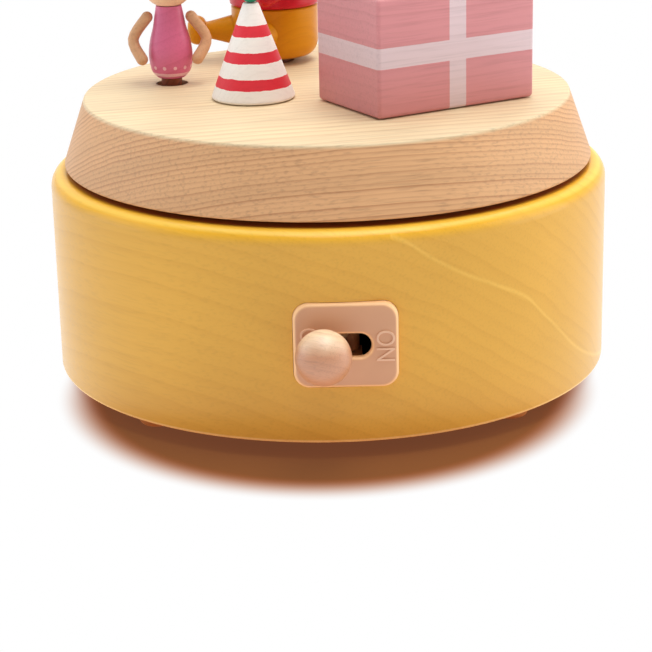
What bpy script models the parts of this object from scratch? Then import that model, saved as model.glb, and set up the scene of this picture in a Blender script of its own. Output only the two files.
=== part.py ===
"""Wind-up wooden music box: a drum with a turning stage, two dolls that spin on planet gears,
a cone and a gift box, a lever switch, and the spring movement inside the drum.

Run with: blender --background --python part.py
Units are metres, +Z is up and the front, with the switch, faces -Y. The origin is on the surface
that the feet stand on, under the middle of the whole outline.
"""

from math import acos, atan2, cos, pi, radians, sin, sqrt, tan

import bmesh
import bpy
from mathutils import Matrix, Vector

MM = 0.001

# Gaps that every fit uses
CLEAR = 0.3 * MM
SEAT = 0.2 * MM

# How far a cutter runs past what it cuts, and how close points are merged
CUT_OVER = 2.0 * MM
MERGE = 0.01 * MM

# How many flat sides stand for a round: fine on show, coarse inside
FINE_SIDES = 18
ROD_SIDES = 12
BORE_SIDES = 10
SCREW_SIDES = 8
BODY_SIDES = 18

# Drum: a turned cup, open below, with a sunk deck on top
DRUM_R = 62.5 * MM
DRUM_H = 44.9 * MM
DRUM_WALL = 9.0 * MM
RIM_ROUND = 3.3 * MM
FOOT_EDGE_ROUND = 0.8 * MM
RIM_W = 11.5 * MM
RECESS_DEPTH = 5.9 * MM
DECK_T = 5.0 * MM
DRUM_STEPS = 52

# Bottom board, let into the drum
BOARD_T = 4.5 * MM
BOARD_LIP = 3.8 * MM
KEY_WELL_R = 17.0 * MM
BOARD_STEPS = 40

# Feet, half domes under the board
FOOT_R = 4.3 * MM
FOOT_H = 3.5 * MM
FOOT_INSET = 8.8 * MM
FOOT_SHAPE = [(1, 0.72), (0.93, 0.38), (0.8, 0.13), (0.62, 0)]

# Wood screws
SCREW_SHANK_R = 1.2 * MM
SCREW_HEAD_R = 2.4 * MM
SCREW_HEAD_T = 1.4 * MM
SCREW_TIP = 1.6 * MM
BOARD_SCREW_L = 12.0 * MM
BOARD_SCREW_COUNT = 3
BED_SCREW_L = 6.0 * MM
COMB_SCREW_L = 6.0 * MM

# Turning stage
STAGE_GAP = 1.2 * MM
STAGE_BOTTOM_R = 59.2 * MM
STAGE_TOP_R = 54.4 * MM
STAGE_T = 14.7 * MM
STAGE_EDGE = 0.5 * MM

# Gears under the stage: a fixed sun and one planet under each doll
PLANET_ROOM = 3.0 * MM
SUN_TEETH = 36
PLANET_TEETH = 13
SUN_T = 4.5 * MM
PLANET_T = 4.5 * MM
SUN_BORE_R = 14.0 * MM
SUN_BACKLASH = 0.5 * MM
PRESSURE_ANGLE = radians(20)
SMALL_AZIMUTH = radians(163.8)
LARGE_AZIMUTH = radians(108.8)

# Posts of the dolls and the bushes in the stage that they turn in
SMALL_POST_R = 2.4 * MM
SMALL_HOLE_R = 3.65 * MM
LARGE_POST_R = 3.0 * MM
LARGE_HOLE_R = 4.4 * MM
BUSH_SUNK = 3.0 * MM
POST_SHOW = 1.6 * MM
POST_IN_DOLL = 2.4 * MM

# Striped cone with its bead
CONE_X = -16.1 * MM
CONE_Y = -7.8 * MM
CONE_BASE_R = 9.2 * MM
CONE_TOP_R = 1.8 * MM
CONE_H = 20.9 * MM
CONE_EDGE = 0.5 * MM
BEAD_R = 2.2 * MM
BEAD_LIFT = 0.92

# Gift box
GIFT_X = 21.65 * MM
GIFT_Y = -12.8 * MM
GIFT_L = 39.7 * MM
GIFT_W = 25.4 * MM
GIFT_H = 25.2 * MM
GIFT_TURN = radians(30.0)
GIFT_EDGE = 0.9 * MM

# Switch at the front
PLATE_X = 2.7 * MM
PLATE_Z = 24.85 * MM
PLATE_W = 21.4 * MM
PLATE_H = 18.0 * MM
PLATE_T = 3.0 * MM
PLATE_CORNER_R = 3.3 * MM
PLATE_EDGE = 0.7 * MM
PLATE_PROUD = 0.8 * MM
SLOT_L = 10.4 * MM
SLOT_H = 4.9 * MM
WINDOW_W = 9.6 * MM
WINDOW_SUNK = 1.0 * MM
EAR_W = 7.0 * MM
EAR_T = 1.5 * MM
EAR_GAP = 10.4 * MM
PIVOT_OUT = 50.3 * MM
PIVOT_PIN_R = 1.0 * MM
LEVER_SWING = radians(26.0)
LEVER_HUB_R = 3.0 * MM
LEVER_STEM_R = 1.6 * MM
KNOB_STAND = 7.4 * MM
LEVER_FINGER_L = 12.0 * MM
LEVER_FINGER_W = 3.0 * MM
BALL_R = 5.7 * MM

# Movement: bed plate, spring barrel, pinned cylinder, comb and governor
MOVEMENT_TURN = radians(-45.0)
BED_T = 2.5 * MM
BED_CORNERS = [(-19 * MM, -19 * MM), (20 * MM, -24 * MM), (45 * MM, -24 * MM), (45 * MM, 14 * MM),
               (41 * MM, 30 * MM), (18 * MM, 30 * MM), (-19 * MM, 19 * MM)]
BED_SCREW_IN = 4.0 * MM
LAND_BACK = 1.0 * MM
CASTING_JOIN = 0.5 * MM
BARREL_R = 15.2 * MM
BARREL_WALL = 1.8 * MM
BARREL_H = 9.2 * MM
BARREL_TOP_T = 1.5 * MM
BARREL_LIFT = 0.4 * MM
COVER_T = 1.0 * MM
CROWN_TEETH = 36
CROWN_TOOTH_H = 1.5 * MM
CROWN_ADDENDUM = 0.6 * MM
CROWN_TIP_SHARE = 0.6
CROWN_W = 1.6 * MM
PINION_MODULE = 0.8 * MM
PINION_TEETH = 12
PINION_W = 1.4 * MM
PINION_BACKLASH = 0.7 * MM
SPRING_T = 0.4 * MM
SPRING_TURNS = 4
SPRING_POINTS = 12
ARBOR_R = 1.9 * MM
SHAFT_R = 2.0 * MM
SHAFT_IN_STAGE = 9.0 * MM
SHAFT_FLANGE_R = 10.0 * MM
SHAFT_FLANGE_T = 2.8 * MM
DECK_BUSH_R = 4.5 * MM
DECK_BUSH_FLANGE_R = 7.0 * MM
DECK_BUSH_FLANGE_T = 0.6 * MM

AXLE_R = 1.0 * MM
BEARING_T = 2.0 * MM
BEARING_W = 8.0 * MM
BEARING_OVER = 4.0 * MM
LEFT_BEARING_X = 17.0 * MM
CYLINDER_X = 20.0 * MM
NOTES = 18
NOTE_PITCH = 1.05 * MM
CYLINDER_R = 6.5 * MM
CYLINDER_SECTORS = 22
PIN_H = 0.5 * MM
PIN_INSET = 0.36 * MM
PIN_TAPER = 0.02 * MM
PINS_PER_NOTE = 3
TUNE_STEP = 7
PIN_STEP = 11
DRIVE_MODULE = 0.7 * MM
DRIVE_TEETH = 28
DRIVE_W = 2.0 * MM
GOVERNOR_TEETH = 10
DRIVE_BACKLASH = 0.4 * MM
COMB_T = 1.0 * MM
COMB_SLIT = 0.35 * MM
COMB_BASE_L = 8.0 * MM
COMB_LONG_TOOTH = 14.0 * MM
COMB_SHORT_TOOTH = 9.0 * MM
COMB_SIDE = 1.0 * MM
GOVERNOR_CASE_X = 25.0 * MM
GOVERNOR_CASE_L = 12.0 * MM
GOVERNOR_CASE_Y = -22.0 * MM
GOVERNOR_CASE_W = 13.2 * MM
GOVERNOR_CASE_H = 24.0 * MM
GOVERNOR_CASE_EDGE = 1.0 * MM
GOVERNOR_AXLE_IN_CASE = 4.0 * MM
AXLE_STUB = 1.3 * MM

# Winding key under the board
KEY_HUB_R = 4.0 * MM
KEY_SPAN = 28.0 * MM
KEY_WING_H = 5.4 * MM
KEY_WING_T = 1.8 * MM
KEY_OFF_FLOOR = 1.4 * MM
KEY_HUB_H = 6.0 * MM
KEY_WEB = 2.0 * MM
KEY_TURN = radians(20.0)

# Small doll, a turned body with a ball head
SMALL_BODY_H = 16.3 * MM
SMALL_HIP_R = 5.0 * MM
SMALL_NECK_R = 2.9 * MM
SMALL_FOOT_R = 3.2 * MM
SMALL_HEAD_R = 6.2 * MM
SMALL_ARM_R = 1.3 * MM
SMALL_HAIR_T = 1.0 * MM
SMALL_BODY_SHAPE = [(0.66, 0.87), (0.76, 0.7), (0.93, 0.5), (1, 0.3), (0.9, 0.1)]
SMALL_ARM_BENDS = [(5.0 * MM, 0.3 * MM, 15.3 * MM), (8.3 * MM, 0.8 * MM, 10.4 * MM),
                   (6.3 * MM, 3.2 * MM, 6.2 * MM)]
HAIR_TILT = radians(-28.0)
HAIR_LOW = radians(-14.0)
HAIR_BANDS = 5

# Large doll, seated with its legs out in a V
LARGE_OFF_STAGE = 1.2 * MM
LARGE_BODY_R = 10.3 * MM
LARGE_TROUSERS_H = 12.4 * MM
LARGE_SEAT_R = 6.5 * MM
LARGE_JUMPER_H = 19.0 * MM
LARGE_NECK_R = 5.2 * MM
LARGE_HEAD_R = 9.0 * MM
LARGE_HAIR_T = 1.3 * MM
LARGE_FACING = radians(217.0)
LARGE_LEG_SPREAD = radians(37.0)
LARGE_LEG_Z = 7.6 * MM
LARGE_HIP_R = 4.0 * MM
LARGE_ANKLE_R = 2.0 * MM
LARGE_LEG_L = 8.0 * MM
LARGE_SHOE_R = 3.5 * MM
LARGE_SHOE_L = 4.4 * MM
LARGE_LEG_SUNK = 2.2 * MM
LARGE_ARM_R = 2.3 * MM
LARGE_ARM_BENDS = [(10.4 * MM, 0.5 * MM, 27.9 * MM), (13.0 * MM, 3.5 * MM, 21.4 * MM),
                   (10.6 * MM, 10.0 * MM, 17.5 * MM)]
LARGE_SEAT_SHAPE = [(1, 0.34), (0.96, 0.185), (0.84, 0.056)]
LARGE_JUMPER_SHAPE = [(0.68, 0.86), (0.86, 0.6), (0.98, 0.3), (1.03, 0.085), (1.03, 0.02), (0.99, 0)]
SHOE_SHAPE = [(0.5, 1), (0.86, 0.83), (1, 0.5), (0.86, 0.17), (0.57, 0)]

# Levels and places that follow from the sizes above
DRUM_BOTTOM_Z = FOOT_H
RIM_Z = DRUM_BOTTOM_Z + DRUM_H
DECK_Z = RIM_Z - RECESS_DEPTH
CEILING_Z = DECK_Z - DECK_T
BOARD_TOP_Z = DRUM_BOTTOM_Z + BOARD_T
RECESS_R = DRUM_R - RIM_W
FOOT_CIRCLE_R = DRUM_R - FOOT_INSET
SUN_MODULE = (RECESS_R - PLANET_ROOM) / (SUN_TEETH / 2 + PLANET_TEETH + 1)
STAGE_Z = RIM_Z + STAGE_GAP
STAGE_TOP_Z = STAGE_Z + STAGE_T
ORBIT_R = SUN_MODULE * (SUN_TEETH + PLANET_TEETH) / 2
SUN_Z = DECK_Z + SEAT
PLANET_Z = STAGE_Z - CLEAR - PLANET_T
BED_Z = BOARD_TOP_Z + SEAT
BED_TOP_Z = BED_Z + BED_T
BARREL_Z = BED_TOP_Z + BARREL_LIFT
BARREL_TOP_Z = BARREL_Z + BARREL_H
PINION_R = PINION_MODULE * PINION_TEETH / 2
CROWN_R = PINION_MODULE * CROWN_TEETH / 2
CYLINDER_Z = BARREL_TOP_Z + CROWN_TOOTH_H - CROWN_ADDENDUM + PINION_R
CYLINDER_L = NOTES * NOTE_PITCH
DRIVE_X = CYLINDER_X + CYLINDER_L + 2 * CLEAR
RIGHT_BEARING_X = DRIVE_X + DRIVE_W + 2 * CLEAR
GOVERNOR_Y = -DRIVE_MODULE * (DRIVE_TEETH + GOVERNOR_TEETH) / 2
COMB_TIP_Y = CYLINDER_R + PIN_H + CLEAR
COMB_BASE_Y = COMB_TIP_Y + COMB_LONG_TOOTH
PLATE_FRONT_Y = -(DRUM_R + PLATE_PROUD)
PIVOT_Y = -PIVOT_OUT
PIVOT_BACK = PIVOT_Y - PLATE_FRONT_Y
LEVER_REACH = PIVOT_BACK + KNOB_STAND
KNOB_REACH = -PIVOT_Y + LEVER_REACH * cos(LEVER_SWING / 2) + BALL_R
AXIS_Y = (KNOB_REACH - DRUM_R) / 2

COLLECTIONS = {}
MATERIALS = {}


def clear_scene():
    """Start from an empty file and make the two collections."""
    for obj in list(bpy.data.objects):
        bpy.data.objects.remove(obj, do_unlink=True)
    for name in ("music_box", "cutters"):
        COLLECTIONS[name] = bpy.data.collections.new(name)
        bpy.context.scene.collection.children.link(COLLECTIONS[name])


def finish(name, rgb, roughness, metallic=0.0):
    """A Principled material; rgb is the colour as seen on a screen, 0 to 255."""
    if name in MATERIALS:
        return MATERIALS[name]
    made = bpy.data.materials.new(name)
    made.use_nodes = True
    shader = made.node_tree.nodes["Principled BSDF"]
    linear = [((c / 255 + 0.055) / 1.055) ** 2.4 for c in rgb]
    shader.inputs["Base Color"].default_value = (*linear, 1.0)
    shader.inputs["Roughness"].default_value = roughness
    shader.inputs["Metallic"].default_value = metallic
    MATERIALS[name] = made
    return made


def own_finish(piece_name, kind):
    """Each piece has its own material, made from one of the finishes of this object."""
    kinds = {
        "yellow stain": ((222, 168, 82), 0.35, 0.0),
        "maple": ((238, 204, 158), 0.5, 0.0),
        "plywood": ((205, 165, 112), 0.6, 0.0),
        "beige plastic": ((204, 154, 122), 0.4, 0.0),
        "ball wood": ((215, 170, 138), 0.5, 0.0),
        "pink paint": ((210, 135, 128), 0.5, 0.0),
        "white paint": ((231, 205, 190), 0.6, 0.0),
        "green paint": ((52, 140, 110), 0.5, 0.0),
        "dress pink": ((208, 105, 134), 0.45, 0.0),
        "doll wood": ((221, 174, 145), 0.5, 0.0),
        "hair brown": ((92, 58, 38), 0.5, 0.0),
        "post brown": ((115, 54, 32), 0.4, 0.0),
        "mustard": ((203, 125, 27), 0.45, 0.0),
        "red": ((190, 25, 40), 0.45, 0.0),
        "steel": ((190, 190, 192), 0.3, 1.0),
        "brass": ((200, 165, 90), 0.3, 1.0),
        "cast zinc": ((160, 160, 158), 0.5, 1.0),
        "gear plastic": ((225, 222, 212), 0.45, 0.0),
        "dark plastic": ((45, 44, 46), 0.5, 0.0),
    }
    rgb, roughness, metallic = kinds[kind]
    return finish(f"{piece_name} {kind}", rgb, roughness, metallic)


def frame_empty(name, parent=None, location=(0, 0, 0), turn=0.0):
    """An empty that carries a group of pieces, turned about Z."""
    empty = bpy.data.objects.new(name, None)
    COLLECTIONS["music_box"].objects.link(empty)
    empty.parent = parent
    empty.location = location
    empty.rotation_euler = (0, 0, turn)
    return empty


def place(name, data, kind, parent, location=(0, 0, 0), rotation=(0, 0, 0)):
    """Put one named piece, or with kind None one cutter, under its parent."""
    obj = bpy.data.objects.new(name, data)
    COLLECTIONS["music_box" if kind else "cutters"].objects.link(obj)
    obj.parent = parent
    obj.location = location
    obj.rotation_euler = rotation
    if kind:
        data.materials.append(own_finish(name, kind))
    else:
        obj.hide_render = True
        obj.display_type = "WIRE"
    return obj


def turned(name, profile, steps, kind, parent, location=(0, 0, 0), rotation=(0, 0, 0), ring=False):
    """A turned piece: a profile of (radius, height) that runs down its outer side, spun by Screw."""
    mesh = bpy.data.meshes.new(name)
    count = len(profile)
    edges = [(i, i + 1) for i in range(count - 1)]
    if ring:
        edges.append((count - 1, 0))
    mesh.from_pydata([(r, 0, z) for r, z in profile], edges, [])
    obj = place(name, mesh, kind, parent, location, rotation)
    screw = obj.modifiers.new("Spin", "SCREW")
    screw.angle = 2 * pi
    screw.steps = steps
    screw.render_steps = steps
    screw.use_merge_vertices = True
    screw.merge_threshold = 0.00001
    screw.use_smooth_shade = True
    return obj


def arc(centre_r, centre_z, radius, start, end, count):
    """Points of a profile along an arc, angles from +r towards +z in radians."""
    angles = [start + (end - start) * i / count for i in range(count + 1)]
    return [(centre_r + radius * cos(a), centre_z + radius * sin(a)) for a in angles]


def outline_mesh(name, loops, thickness):
    """A flat outline with holes, filled and extruded as a 2D curve, made a closed mesh from z 0 up."""
    curve = bpy.data.curves.new(name, "CURVE")
    curve.dimensions = "2D"
    curve.fill_mode = "BOTH"
    curve.extrude = thickness / 2
    for loop in loops:
        spline = curve.splines.new("POLY")
        spline.points.add(len(loop) - 1)
        for point, (x, y) in zip(spline.points, loop):
            point.co = (x, y, 0, 1)
        spline.use_cyclic_u = True
    return curve_mesh(name, curve, Matrix.Translation((0, 0, thickness / 2)))


def curve_mesh(name, curve, shift=Matrix()):
    """Turn a curve into a mesh with its caps welded on and its faces pointing out."""
    holder = bpy.data.objects.new(name + "_curve", curve)
    bpy.context.scene.collection.objects.link(holder)
    evaluated = holder.evaluated_get(bpy.context.evaluated_depsgraph_get())
    mesh = bpy.data.meshes.new_from_object(evaluated)
    mesh.name = name
    mesh.materials.clear()
    bm = bmesh.new()
    bm.from_mesh(mesh)
    bmesh.ops.remove_doubles(bm, verts=bm.verts, dist=0.000001)
    bmesh.ops.recalc_face_normals(bm, faces=bm.faces)
    bmesh.ops.transform(bm, matrix=shift, verts=bm.verts)
    bm.to_mesh(mesh)
    bm.free()
    bpy.data.objects.remove(holder, do_unlink=True)
    bpy.data.curves.remove(curve)
    return mesh


def smooth(obj, angle=35.0):
    """Shade a mesh piece smooth, apart from its sharp edges."""
    obj.data.shade_smooth()
    obj.data.set_sharp_from_angle(angle=radians(angle))
    return obj


def circle(radius, count, x=0.0, y=0.0):
    return [(x + radius * cos(2 * pi * i / count), y + radius * sin(2 * pi * i / count))
            for i in range(count)]


def stadium(length, width, steps):
    """A slot outline with round ends, long way along x."""
    half = (length - width) / 2
    right = [(half + width / 2 * cos(a), width / 2 * sin(a))
             for a in [-pi / 2 + pi * i / steps for i in range(steps + 1)]]
    return right + [(-x, -y) for x, y in right]


def rounded_rectangle(width, height, radius, steps):
    points = []
    corners = [(1, 1, 0), (-1, 1, pi / 2), (-1, -1, pi), (1, -1, 3 * pi / 2)]
    for sx, sy, start in corners:
        cx = sx * (width / 2 - radius)
        cy = sy * (height / 2 - radius)
        for i in range(steps + 1):
            a = start + pi / 2 * i / steps
            points.append((cx + radius * cos(a), cy + radius * sin(a)))
    return points


def block_mesh(name, size, centre=(0, 0, 0)):
    """A box from a primitive cube, its size and place in the mesh."""
    mesh = bpy.data.meshes.new(name)
    bm = bmesh.new()
    bmesh.ops.create_cube(bm, size=1.0)
    bmesh.ops.scale(bm, vec=size, verts=bm.verts)
    bmesh.ops.translate(bm, vec=centre, verts=bm.verts)
    bm.to_mesh(mesh)
    bm.free()
    return mesh


def rod_mesh(name, radius, length, sides, along="Z"):
    """A round rod from a primitive, from 0 to its length along one axis."""
    mesh = bpy.data.meshes.new(name)
    bm = bmesh.new()
    bmesh.ops.create_cone(bm, cap_ends=True, segments=sides, radius1=radius, radius2=radius, depth=length)
    bmesh.ops.translate(bm, vec=(0, 0, length / 2), verts=bm.verts)
    if along == "X":
        bmesh.ops.rotate(bm, matrix=Matrix.Rotation(pi / 2, 3, "Y"), verts=bm.verts)
    if along == "-Y":
        bmesh.ops.rotate(bm, matrix=Matrix.Rotation(pi / 2, 3, "X"), verts=bm.verts)
    bm.to_mesh(mesh)
    bm.free()
    return mesh


def ball_mesh(name, radius, around, rings):
    mesh = bpy.data.meshes.new(name)
    bm = bmesh.new()
    bmesh.ops.create_uvsphere(bm, u_segments=around, v_segments=rings, radius=radius)
    bm.to_mesh(mesh)
    bm.free()
    return mesh


def combine(obj, other, operation):
    """Cut another object from this one, or join it on."""
    boolean = obj.modifiers.new(operation.title(), "BOOLEAN")
    boolean.operation = operation
    boolean.solver = "EXACT"
    boolean.object = other


def round_edges(obj, width, segments=2):
    bevel = obj.modifiers.new("Edges", "BEVEL")
    bevel.width = width
    bevel.segments = segments
    bevel.limit_method = "ANGLE"
    bevel.angle_limit = radians(40)


def gear_outline(teeth, module, backlash, first_tooth=0.0, flank_points=3):
    """Stub involute teeth around a centre; one tooth points along first_tooth."""
    pitch_r = module * teeth / 2
    base_r = pitch_r * cos(PRESSURE_ANGLE)
    radii = [pitch_r - 0.95 * module, pitch_r, pitch_r + 0.75 * module]
    if flank_points == 2:
        radii = [radii[0], radii[2]]

    def half_angle(radius):
        steep = acos(min(1.0, base_r / max(radius, base_r)))
        thick = pi / (2 * teeth) - backlash / (4 * pitch_r)
        return thick + tan(PRESSURE_ANGLE) - PRESSURE_ANGLE - (tan(steep) - steep)

    points = []
    for i in range(teeth):
        middle = first_tooth + 2 * pi * i / teeth
        for radius in radii:
            a = middle - half_angle(radius)
            points.append((radius * cos(a), radius * sin(a)))
        for radius in reversed(radii):
            a = middle + half_angle(radius)
            points.append((radius * cos(a), radius * sin(a)))
    return points


def meshing_tooth(big_teeth, small_teeth, big_first, direction):
    """Where a small gear's first tooth points when it meshes in that direction from the big gear."""
    pitch = 2 * pi / big_teeth
    offset = (big_first - direction + pitch / 2) % pitch - pitch / 2
    gap = direction + pi - offset * big_teeth / small_teeth
    return gap + pi / small_teeth


def screw_profile(length, grow=0.0):
    """A countersunk wood screw that goes in upwards, its flat head at z 0."""
    shank = SCREW_SHANK_R + grow
    head = SCREW_HEAD_R + grow
    return [(0, length + grow), (shank, length - SCREW_TIP + grow), (shank, SCREW_HEAD_T + grow),
            (head, 2 * grow), (head, -grow), (0, -grow)]


def add_drum(root):
    """The drum: turned outside and in, with a pocket and a window for the switch."""
    inner_r = DRUM_R - DRUM_WALL
    board_r = DRUM_R - BOARD_LIP
    bush_hole_r = DECK_BUSH_R + CLEAR
    shoulder_z = BOARD_TOP_Z + CLEAR
    profile = arc(DRUM_R - RIM_ROUND, RIM_Z - RIM_ROUND, RIM_ROUND, pi / 2, 0, 4)
    profile += arc(DRUM_R - FOOT_EDGE_ROUND, DRUM_BOTTOM_Z + FOOT_EDGE_ROUND, FOOT_EDGE_ROUND,
                   0, -pi / 2, 1)
    profile += [(board_r, DRUM_BOTTOM_Z), (board_r, shoulder_z), (inner_r, shoulder_z), (inner_r, CEILING_Z),
                (bush_hole_r, CEILING_Z), (bush_hole_r, DECK_Z), (RECESS_R, DECK_Z), (RECESS_R, RIM_Z)]
    drum = turned("drum_shell", profile, DRUM_STEPS, "yellow stain", root, ring=True)

    pocket_outline = rounded_rectangle(PLATE_W + 2 * CLEAR, PLATE_H + 2 * CLEAR, PLATE_CORNER_R + CLEAR, 4)
    pocket_depth = PLATE_T + CLEAR + PLATE_PROUD + CUT_OVER
    pocket = place("plate_pocket", outline_mesh("plate_pocket", [pocket_outline], pocket_depth), None, root,
                   (PLATE_X, PLATE_FRONT_Y + PLATE_T + CLEAR, PLATE_Z), (pi / 2, 0, 0))
    combine(drum, pocket, "DIFFERENCE")
    window_h = EAR_GAP + 2 * EAR_T + 2 * CLEAR
    window_depth = DRUM_WALL + 2 * CUT_OVER
    window = place("lever_window", block_mesh("lever_window", (WINDOW_W, window_depth, window_h)), None, root,
                   (PLATE_X, PLATE_FRONT_Y + PLATE_T - WINDOW_SUNK + window_depth / 2, PLATE_Z))
    combine(drum, window, "DIFFERENCE")
    return drum


def add_board(root, movement, drum):
    """The bottom board with the key well, its screws, the feet and the bed's screws."""
    outer = circle(DRUM_R - BOARD_LIP - CLEAR, BOARD_STEPS)
    mesh = outline_mesh("bottom_board", [outer, circle(KEY_WELL_R, FINE_SIDES)], BOARD_T)
    board = place("bottom_board", mesh, "plywood", root, (0, 0, DRUM_BOTTOM_Z))
    inner_r = DRUM_R - DRUM_WALL
    screw_circle_r = (inner_r + DRUM_R - BOARD_LIP) / 2
    for i in range(BOARD_SCREW_COUNT):
        a = pi / 2 + 2 * pi * i / BOARD_SCREW_COUNT
        spot = (screw_circle_r * cos(a), screw_circle_r * sin(a), DRUM_BOTTOM_Z + SEAT)
        turned(f"board_screw_{i + 1}", screw_profile(BOARD_SCREW_L), SCREW_SIDES, "steel", root, spot)
        hole = turned(f"board_hole_{i + 1}", screw_profile(BOARD_SCREW_L, CLEAR), SCREW_SIDES, None, root,
                      spot)
        combine(board, hole, "DIFFERENCE")
        combine(drum, hole, "DIFFERENCE")
    corners = [("right", "back"), ("left", "back"), ("left", "front"), ("right", "front")]
    for i, (side, end) in enumerate(corners):
        a = pi / 4 + pi / 2 * i
        spot = (FOOT_CIRCLE_R * cos(a), FOOT_CIRCLE_R * sin(a), 0)
        rise = FOOT_H - SEAT
        dome = [(FOOT_R * across, rise * up) for across, up in FOOT_SHAPE]
        profile = [(0, rise), (FOOT_R, rise)] + dome + [(0, 0)]
        turned(f"foot_{end}_{side}", profile, ROD_SIDES, "maple", root, spot)
    bed_holes = []
    for i, (x, y) in enumerate(bed_screw_places()):
        spot = (x, y, DRUM_BOTTOM_Z + SEAT)
        turned(f"bed_screw_{i + 1}", screw_profile(BED_SCREW_L), SCREW_SIDES, "steel", movement, spot)
        hole = turned(f"bed_hole_{i + 1}", screw_profile(BED_SCREW_L, CLEAR), SCREW_SIDES, None, movement,
                      spot)
        combine(board, hole, "DIFFERENCE")
        bed_holes.append(hole)
    return bed_holes


def bed_screw_places():
    """Three places in the bed plate, clear of the key well and of what stands on the bed."""
    out = KEY_WELL_R + 2 * SCREW_HEAD_R
    slant = out * cos(pi / 4)
    return [(RIGHT_BEARING_X - SCREW_HEAD_R - BED_SCREW_IN, GOVERNOR_CASE_Y + BED_SCREW_IN),
            (out, COMB_BASE_Y - BED_SCREW_IN), (-slant, -slant)]


def add_stage(stage):
    """The stage disc, with a hole for each doll's post and a blind bore for the shaft."""
    profile = [(0, STAGE_TOP_Z), (STAGE_TOP_R - STAGE_EDGE, STAGE_TOP_Z),
               (STAGE_TOP_R, STAGE_TOP_Z - STAGE_EDGE), (STAGE_BOTTOM_R, STAGE_Z + STAGE_EDGE),
               (STAGE_BOTTOM_R - STAGE_EDGE, STAGE_Z), (0, STAGE_Z)]
    disc = turned("stage_disc", profile, DRUM_STEPS, "maple", stage)
    through = STAGE_T + 2 * CUT_OVER
    doll_holes = [("small", SMALL_AZIMUTH, SMALL_HOLE_R, SMALL_POST_R),
                  ("large", LARGE_AZIMUTH, LARGE_HOLE_R, LARGE_POST_R)]
    for which, azimuth, hole_r, post_r in doll_holes:
        spot = (ORBIT_R * cos(azimuth), ORBIT_R * sin(azimuth), STAGE_Z - CUT_OVER)
        hole = place(f"{which}_post_hole", rod_mesh(f"{which}_post_hole", hole_r, through, FINE_SIDES),
                     None, stage, spot)
        combine(disc, hole, "DIFFERENCE")
        bush_h = STAGE_T - BUSH_SUNK
        ring = [(post_r + CLEAR, bush_h), (hole_r - CLEAR, bush_h), (hole_r - CLEAR, 0), (post_r + CLEAR, 0)]
        turned(f"{which}_post_bush", ring, ROD_SIDES, "post brown", stage, (spot[0], spot[1], STAGE_Z),
               ring=True)
    bore_h = SHAFT_IN_STAGE + CLEAR + CUT_OVER
    bore = place("shaft_bore", rod_mesh("shaft_bore", SHAFT_R + CLEAR, bore_h, FINE_SIDES), None,
                 stage, (0, 0, STAGE_Z - CUT_OVER))
    combine(disc, bore, "DIFFERENCE")


def flatten_below(ball, radius, parent, spot):
    """Cut a ball off level at a spot, so that it sits there on a flat."""
    size = 2 * radius + CUT_OVER
    below = block_mesh(f"{ball.name}_flat", (size, size, size), (0, 0, -size / 2))
    combine(ball, place(f"{ball.name}_flat", below, None, parent, spot), "DIFFERENCE")


def add_stage_toys(stage):
    """What stands fixed on the stage: the cone with its bead, and the gift box."""
    foot_z = STAGE_TOP_Z + SEAT
    cone = [(0, CONE_H), (CONE_TOP_R, CONE_H), (CONE_BASE_R, CONE_EDGE), (CONE_BASE_R - CONE_EDGE, 0), (0, 0)]
    turned("cone_body", cone, BODY_SIDES, "white paint", stage, (CONE_X, CONE_Y, foot_z))
    tip_z = foot_z + CONE_H + SEAT
    bead = place("cone_bead", ball_mesh("cone_bead", BEAD_R, 12, 7), "green paint", stage,
                 (CONE_X, CONE_Y, tip_z + BEAD_R * BEAD_LIFT))
    flatten_below(bead, BEAD_R, stage, (CONE_X, CONE_Y, tip_z))
    smooth(bead, 60)
    mesh = block_mesh("gift_box", (GIFT_L, GIFT_W, GIFT_H), (0, 0, GIFT_H / 2))
    gift = place("gift_box", mesh, "pink paint", stage, (GIFT_X, GIFT_Y, foot_z), (0, 0, GIFT_TURN))
    round_edges(gift, GIFT_EDGE, 2)


def add_sun_and_bush(root):
    """The fixed sun gear on the deck, and the bush that the output shaft turns in."""
    teeth = gear_outline(SUN_TEETH, SUN_MODULE, SUN_BACKLASH, SMALL_AZIMUTH, 2)
    sun = [teeth, circle(SUN_BORE_R, FINE_SIDES)]
    place("sun_gear", outline_mesh("sun_gear", sun, SUN_T), "gear plastic", root, (0, 0, SUN_Z))
    bore_r = SHAFT_R + CLEAR
    flange_z = DECK_Z + SEAT
    profile = [(bore_r, flange_z + DECK_BUSH_FLANGE_T), (DECK_BUSH_FLANGE_R, flange_z + DECK_BUSH_FLANGE_T),
               (DECK_BUSH_FLANGE_R, flange_z), (DECK_BUSH_R, flange_z), (DECK_BUSH_R, CEILING_Z),
               (bore_r, CEILING_Z)]
    turned("deck_bush", profile, ROD_SIDES, "brass", root, ring=True)


def add_output_shaft(stage):
    """The shaft from the spring barrel up into the stage, with the flange that carries the stage."""
    flange_z = STAGE_Z - SEAT
    profile = [(0, STAGE_Z + SHAFT_IN_STAGE), (SHAFT_R, STAGE_Z + SHAFT_IN_STAGE), (SHAFT_R, flange_z),
               (SHAFT_FLANGE_R, flange_z), (SHAFT_FLANGE_R, flange_z - SHAFT_FLANGE_T),
               (SHAFT_R, flange_z - SHAFT_FLANGE_T), (SHAFT_R, BARREL_TOP_Z + SEAT), (0, BARREL_TOP_Z + SEAT)]
    turned("output_shaft", profile, ROD_SIDES, "steel", stage)


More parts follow.
